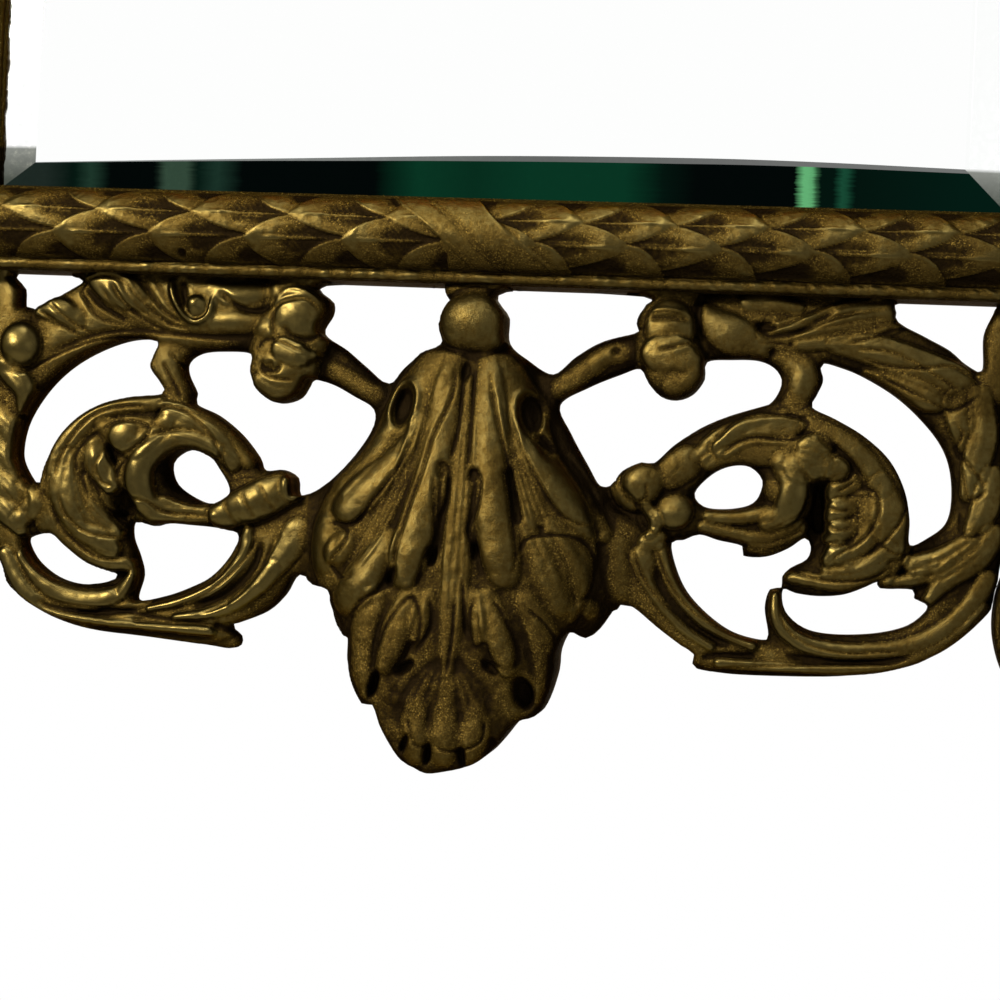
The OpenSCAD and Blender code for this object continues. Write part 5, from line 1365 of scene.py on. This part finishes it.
def brass_look(name):
    """Old cast brass: dark with grime and painted shade in the hollows, gold specks of grain painted bright
    as glints on rough ground, olive where it is polished.
    """
    look = Look(name)
    place = look.object_place()
    blotch = look.noise(place, 45, 5, 0.6)
    fine = look.noise(place, 650, 4, 0.7)
    pits = look.noise(place, 2000, 4, 0.75)
    wear_and_shade = look.node("ShaderNodeAttribute", attribute_name="wear_and_shade").outputs["Fac"]
    mixed = look.math("ADD", wear_and_shade, look.map(blotch, 0.3, 0.7, -0.14, 0.14))
    mixed = look.math("ADD", mixed, look.map(fine, 0.3, 0.7, -0.16, 0.16), clamp=True)
    ground = look.ramp(mixed, BRASS_STOPS)
    rough_ground = look.math("MULTIPLY", look.map(wear_and_shade, 0.20, 0.32, 0, 1), look.map(wear_and_shade, 0.43, 0.58, 1, 0))
    # Bright gold specks on the rough ground, painted as glints of the grain
    grain_glints = look.math("MULTIPLY", look.map(pits, 0.54, 0.68, 0, 0.65), rough_ground)
    rough = look.math("ADD", look.map(mixed, 0.25, 0.8, 0.60, 0.31), look.map(fine, 0.3, 0.7, -0.06, 0.06))
    coarse = look.bump(fine, 0.0006, look.map(wear_and_shade, 0.35, 0.75, 0.8, 0.10))
    normal = look.bump(pits, 0.00025, look.map(wear_and_shade, 0.35, 0.8, 0.9, 0.12), coarse)
    look.set(Base_Color=look.mix(grain_glints, ground, GOLD_GRAIN_GLINT), Roughness=rough, Normal=normal, Metallic=1.0,
             Specular_Tint=BRASS_TINT)
    return look.material


def plain_look(name, dark, light, rough, metallic=0.0, scale=60.0, bump=0.0002, stretch=(1, 1, 1)):
    """A finish of two close colours with its own roughness and bump."""
    look = Look(name)
    place = look.object_place(stretch)
    large = look.noise(place, scale, 5, 0.6)
    fine = look.noise(place, scale * 9, 4, 0.6)
    shade = look.map(fine, 0.3, 0.7, -0.2, 0.2)
    mixed = look.math("ADD", look.map(large, 0.3, 0.7, 0, 0.8), shade, clamp=True)
    look.set(Base_Color=look.ramp(mixed, [(0.1, dark), (0.9, light)]), Metallic=metallic,
             Roughness=look.map(fine, 0.3, 0.7, rough - 0.08, rough + 0.1), Normal=look.bump(fine, bump, 0.4))
    return look.material


def mirror_look():
    """The silvered face, with a little dust and a slight waviness."""
    look = Look("mirror_face")
    place = look.object_place()
    dust = look.noise(place, 900, 3, 0.7)
    look.set(Base_Color=(0.985, 0.99, 0.985, 1), Metallic=1.0,
             Roughness=look.map(dust, 0.62, 0.8, 0.004, 0.05),
             Normal=look.bump(look.noise(place, 3, 2, 0.4), 0.0002, 0.02))
    return look.material


# The painted reflections along the lower bevel and its arris, as places from the middle in millimetres
BEVEL_REACH = 170
# The colours of the painted reflections, from dark to the lit streaks
DARK, DEEP, GREY = (0.0008, 0.0022, 0.0020), (0.0012, 0.007, 0.0045), (0.012, 0.020, 0.016)
GREEN, SEA_GREEN = (0.0026, 0.034, 0.016), (0.0022, 0.025, 0.012)
LIT, PALE = (0.12, 0.42, 0.17), (0.030, 0.060, 0.038)
BEVEL_PAINTED_REFLECTIONS = ((-160, GREY), (-146, GREY), (-136, DEEP), (-130, (0.012, 0.035, 0.022)), (-124, DARK),
                 (-108, DARK), (-105, PALE), (-98, PALE), (-95, DEEP), (-88, (0.010, 0.030, 0.020)),
                 (-80, DARK), (-36, DARK), (-22, GREEN), (-4, SEA_GREEN), (14, GREEN), (44, GREEN),
                 (56, DEEP), (66, DARK), (97, DARK), (99.5, LIT), (102, LIT), (104, DEEP), (109, DEEP),
                 (112, (0.010, 0.075, 0.038)), (115, DEEP), (150, (0.0012, 0.011, 0.007)))
ARRIS_PAINTED_REFLECTIONS = ((-150, (0.30, 0.32, 0.31)), (-60, (0.20, 0.21, 0.20)), (20, (0.12, 0.125, 0.12)),
                 (150, (0.17, 0.175, 0.17)))
# The painted reflection on the upright bevels: grey low down, pale above
SIDE_PAINTED_REFLECTIONS = [(0.0, (0.07, 0.08, 0.065)), (0.5, (0.16, 0.17, 0.15)), (0.9, (0.25, 0.26, 0.235)),
              (1.0, (0.97, 0.98, 0.97))]


def bevel_look(name, colours):
    """A bevel with painted reflections: its colour changes along the frame as the room behind the viewer
    does.
    """
    look = Look(name)
    place = look.object_place()
    split = look.node("ShaderNodeSeparateXYZ", Vector=place)
    along = look.map(split.outputs["X"], -BEVEL_REACH * MM, BEVEL_REACH * MM, 0, 1)
    # The painted reflections have ragged edges, in streaks along the bevel
    streaks = look.noise(look.object_place((0.02, 1, 1)), 1500, 3, 0.6)
    along = look.math("ADD", along, look.map(streaks, 0.3, 0.7, -0.002, 0.002))
    specks = look.noise(place, 700, 3, 0.7)
    stops = [((mm + BEVEL_REACH) / (2 * BEVEL_REACH), colour) for mm, colour in colours]
    look.set(Base_Color=look.ramp(along, stops), Metallic=1.0,
             Roughness=look.map(specks, 0.3, 0.8, 0.06, 0.2), Specular_Tint=(0.1, 0.2, 0.15, 1),
             Normal=look.bump(look.noise(place, 40, 3, 0.5), 0.0001, 0.05))
    return look.material


def side_bevel_look():
    """The upright bevels carry a painted reflection of the pale room, which goes grey near the lower corners.
    """
    look = Look("side_bevel_painted_reflection")
    place = look.object_place()
    split = look.node("ShaderNodeSeparateXYZ", Vector=place)
    height = look.map(split.outputs["Z"], -0.196, -0.1845, 0, 1)
    specks = look.noise(place, 500, 3, 0.7)
    look.set(Base_Color=look.ramp(height, SIDE_PAINTED_REFLECTIONS), Metallic=1.0,
             Roughness=look.map(specks, 0.3, 0.8, 0.02, 0.12))
    return look.material


# The plain finishes: the short name, then the arguments of plain_look
PLAIN = {
    "silvering": ("silvering_back", (0.09, 0.085, 0.08), (0.14, 0.13, 0.12), 0.55, 0.0, 40),
    "wood": ("board_wood", (0.10, 0.055, 0.025), (0.22, 0.13, 0.065), 0.62, 0.0, 12, 0.0002, (14, 1, 1)),
    "cork": ("cork_slip", (0.16, 0.09, 0.045), (0.34, 0.21, 0.11), 0.85, 0.0, 400, 0.0005),
    "plate": ("plate_steel_dull", (0.10, 0.085, 0.07), (0.22, 0.20, 0.18), 0.5, 1.0, 90),
    "drawn": ("drawn_brass_dull", (0.20, 0.13, 0.045), (0.42, 0.30, 0.11), 0.38, 1.0, 80),
    "screw": ("screw_brass_dull", (0.22, 0.15, 0.05), (0.45, 0.33, 0.13), 0.35, 1.0, 150),
    "steel": ("screw_steel_dull", (0.14, 0.13, 0.12), (0.34, 0.32, 0.30), 0.4, 1.0, 150)}

# The CAD's own small parts that stay, and their finishes
KEPT = {"silvering": "silvering", "backboard": "wood", "cork_slips": "cork", "corner_plate_screws": "screw",
        "turn_button_screws": "screw", "casting_screws": "screw", "palmette_screws": "screw",
        "hanger_screws": "steel", "hanger_plate_left": "plate", "hanger_plate_right": "plate",
        "hanger_ring_left": "drawn", "hanger_ring_right": "drawn",
        **{f"corner_plate_{k}": "plate" for k in range(1, 5)},
        **{f"turn_button_{k}": "drawn" for k in range(1, 7)}}


def materials():
    """All finishes by a short name."""
    looks = {"brass": brass_look("cast_brass_old"), "mirror": mirror_look(),
             "arris": bevel_look("arris_painted_reflection", ARRIS_PAINTED_REFLECTIONS),
             "bevel": bevel_look("bevel_painted_reflection", BEVEL_PAINTED_REFLECTIONS), "bevel_side": side_bevel_look()}
    for name, finish in PLAIN.items():
        looks[name] = plain_look(*finish)
    return looks


def dress_kept_nodes(looks):
    """The CAD's own small parts stay, with worn finishes in their slots."""
    for node, look in KEPT.items():
        thing = frame["nodes"][node]
        if not thing.material_slots:
            thing.data.materials.append(looks[look])
        for slot in thing.material_slots:
            slot.material = looks[look]


# The stage, in metres and watts. Each lamp: its name, place, target, size, power and colour
FLOOR_HALF, FLOOR_Z = 1.3, -1.0
WORLD_FILL, WORLD_SEEN = 0.35, 1.0
WHITE, WARM = (1, 1, 1), (1.0, 0.94, 0.82)
LAMPS = (("key", (-0.75, -0.95, 0.25), (0, -0.02, -0.28), 0.30, 54.0, WARM),
         ("top", (-0.1, -0.6, 0.9), (0, 0, -0.1), 0.6, 22.0, WHITE),
         ("fill", (0.9, -1.1, -0.1), (0, 0, -0.25), 0.9, 3.0, WHITE),
         ("rear", (0.2, 1.2, 0.5), (0, 0, 0), 1.2, 14.0, WHITE))


def stage_floor():
    """A plain pale floor below the mirror."""
    mesh = bpy.data.meshes.new("floor")
    corners = [(x * FLOOR_HALF, y * FLOOR_HALF, FLOOR_Z) for x, y in ((-1, -1), (1, -1), (1, 1), (-1, 1))]
    mesh.from_pydata(corners, [], [(0, 1, 2, 3)])
    mesh.materials.append(plain_look("floor_pale", (0.72, 0.72, 0.71), (0.78, 0.78, 0.77), 0.7, scale=4))
    floor = bpy.data.objects.new("floor", mesh)
    bpy.context.scene.collection.objects.link(floor)


def lamp(name, place, target, size, power, colour):
    """A soft round lamp that points at its target."""
    light = bpy.data.lights.new(name, "AREA")
    light.shape = "DISK"
    light.size, light.energy, light.color = size, power, colour
    thing = bpy.data.objects.new(name, light)
    thing.location = place
    thing.rotation_euler = (Vector(target) - Vector(place)).to_track_quat("-Z", "Y").to_euler()
    bpy.context.scene.collection.objects.link(thing)


def world():
    """White wherever the camera sees the world, also in a reflection, and a weaker light on the object."""
    studio = bpy.data.worlds.new("studio")
    bpy.context.scene.world = studio
    studio.use_nodes = True
    nodes, links = studio.node_tree.nodes, studio.node_tree.links
    path = nodes.new("ShaderNodeLightPath")
    seen = path.outputs["Is Camera Ray"]
    for ray in ("Is Glossy Ray", "Is Transmission Ray"):
        either = nodes.new("ShaderNodeMath")
        either.operation = "MAXIMUM"
        links.new(seen, either.inputs[0])
        links.new(path.outputs[ray], either.inputs[1])
        seen = either.outputs[0]
    strength = nodes.new("ShaderNodeMapRange")
    strength.inputs["To Min"].default_value = WORLD_FILL
    strength.inputs["To Max"].default_value = WORLD_SEEN
    links.new(seen, strength.inputs["Value"])
    links.new(strength.outputs["Result"], nodes["Background"].inputs["Strength"])
    nodes["Background"].inputs["Color"].default_value = (1, 1, 1, 1)


def camera():
    """The photograph's camera."""
    yaw, roll = math.radians(CAMERA_YAW), math.radians(CAMERA_ROLL)
    target = Vector(CAMERA_TARGET)
    place = target + CAMERA_FAR * Vector((math.sin(yaw), -math.cos(yaw), 0))
    forward = (target - place).normalized()
    right = forward.cross(Vector((0, 0, 1))).normalized()
    up = right.cross(forward)
    right, up = right * math.cos(roll) + up * math.sin(roll), up * math.cos(roll) - right * math.sin(roll)
    data = bpy.data.cameras.new("photo")
    data.lens, data.sensor_width = CAMERA_LENS, CAMERA_SENSOR
    data.clip_start, data.clip_end = 0.01, 20.0
    thing = bpy.data.objects.new("photo", data)
    thing.matrix_world = Matrix.Translation(place * MM) @ Matrix((right, up, -forward)).transposed().to_4x4()
    bpy.context.scene.collection.objects.link(thing)
    bpy.context.scene.camera = thing


# The castings at the ends of each side, in the order of the pattern, and the corners of the palmettes
SCROLLS = {"bottom": ("bottom_scroll_left", "bottom_scroll_right"),
           "top": ("top_scroll_right", "top_scroll_left"),
           "left": ("left_scroll_upper", "left_scroll_lower"),
           "right": ("right_scroll_lower", "right_scroll_upper")}
CORNERS = (("palmette_bottom_right", 1, -1), ("palmette_bottom_left", -1, -1),
           ("palmette_top_right", 1, 1), ("palmette_top_left", -1, 1))
# The side in the photograph is the finest. Grid steps are in millimetres
NEAR_STEP, FAR_STEP, RAIL_FAR_STEP, PALMETTE_STEP = 0.5, 0.75, 0.9, 0.8
NEAR_SEED, FAR_SEED, RAIL_SEED, PALMETTE_SEED = 11, 12, 21, 31


def build():
    """Every piece of the mirror."""
    looks = materials()
    brass = looks["brass"]
    near = apron_relief(NEAR_STEP, NEAR_SEED)
    far = apron_relief(FAR_STEP, FAR_SEED)
    for side in ("bottom", "top", "left", "right"):
        r, step = (near, NEAR_STEP) if side == "bottom" else (far, RAIL_FAR_STEP)
        left, right = SCROLLS[side]
        casting(left, r, r.x[0], JOINT_LEFT, side, brass)
        casting(f"{side}_boss", r, JOINT_LEFT, JOINT_RIGHT, side, brass)
        casting(right, r, JOINT_RIGHT, r.x[-1], side, brass)
        rail(f"{side}_rail", side, brass, step, RAIL_SEED)
    shell = cast_shell(palmette_relief(PALMETTE_STEP, PALMETTE_SEED), -40, 140)
    for name, sx, sz in CORNERS:
        palmette(name, shell, sx, sz, brass)
    mirror_plate(looks)
    dress_kept_nodes(looks)


build()
stage_floor()
world()
for one in LAMPS:
    lamp(*one)
camera()
bpy.context.scene.view_settings.view_transform = "Standard"
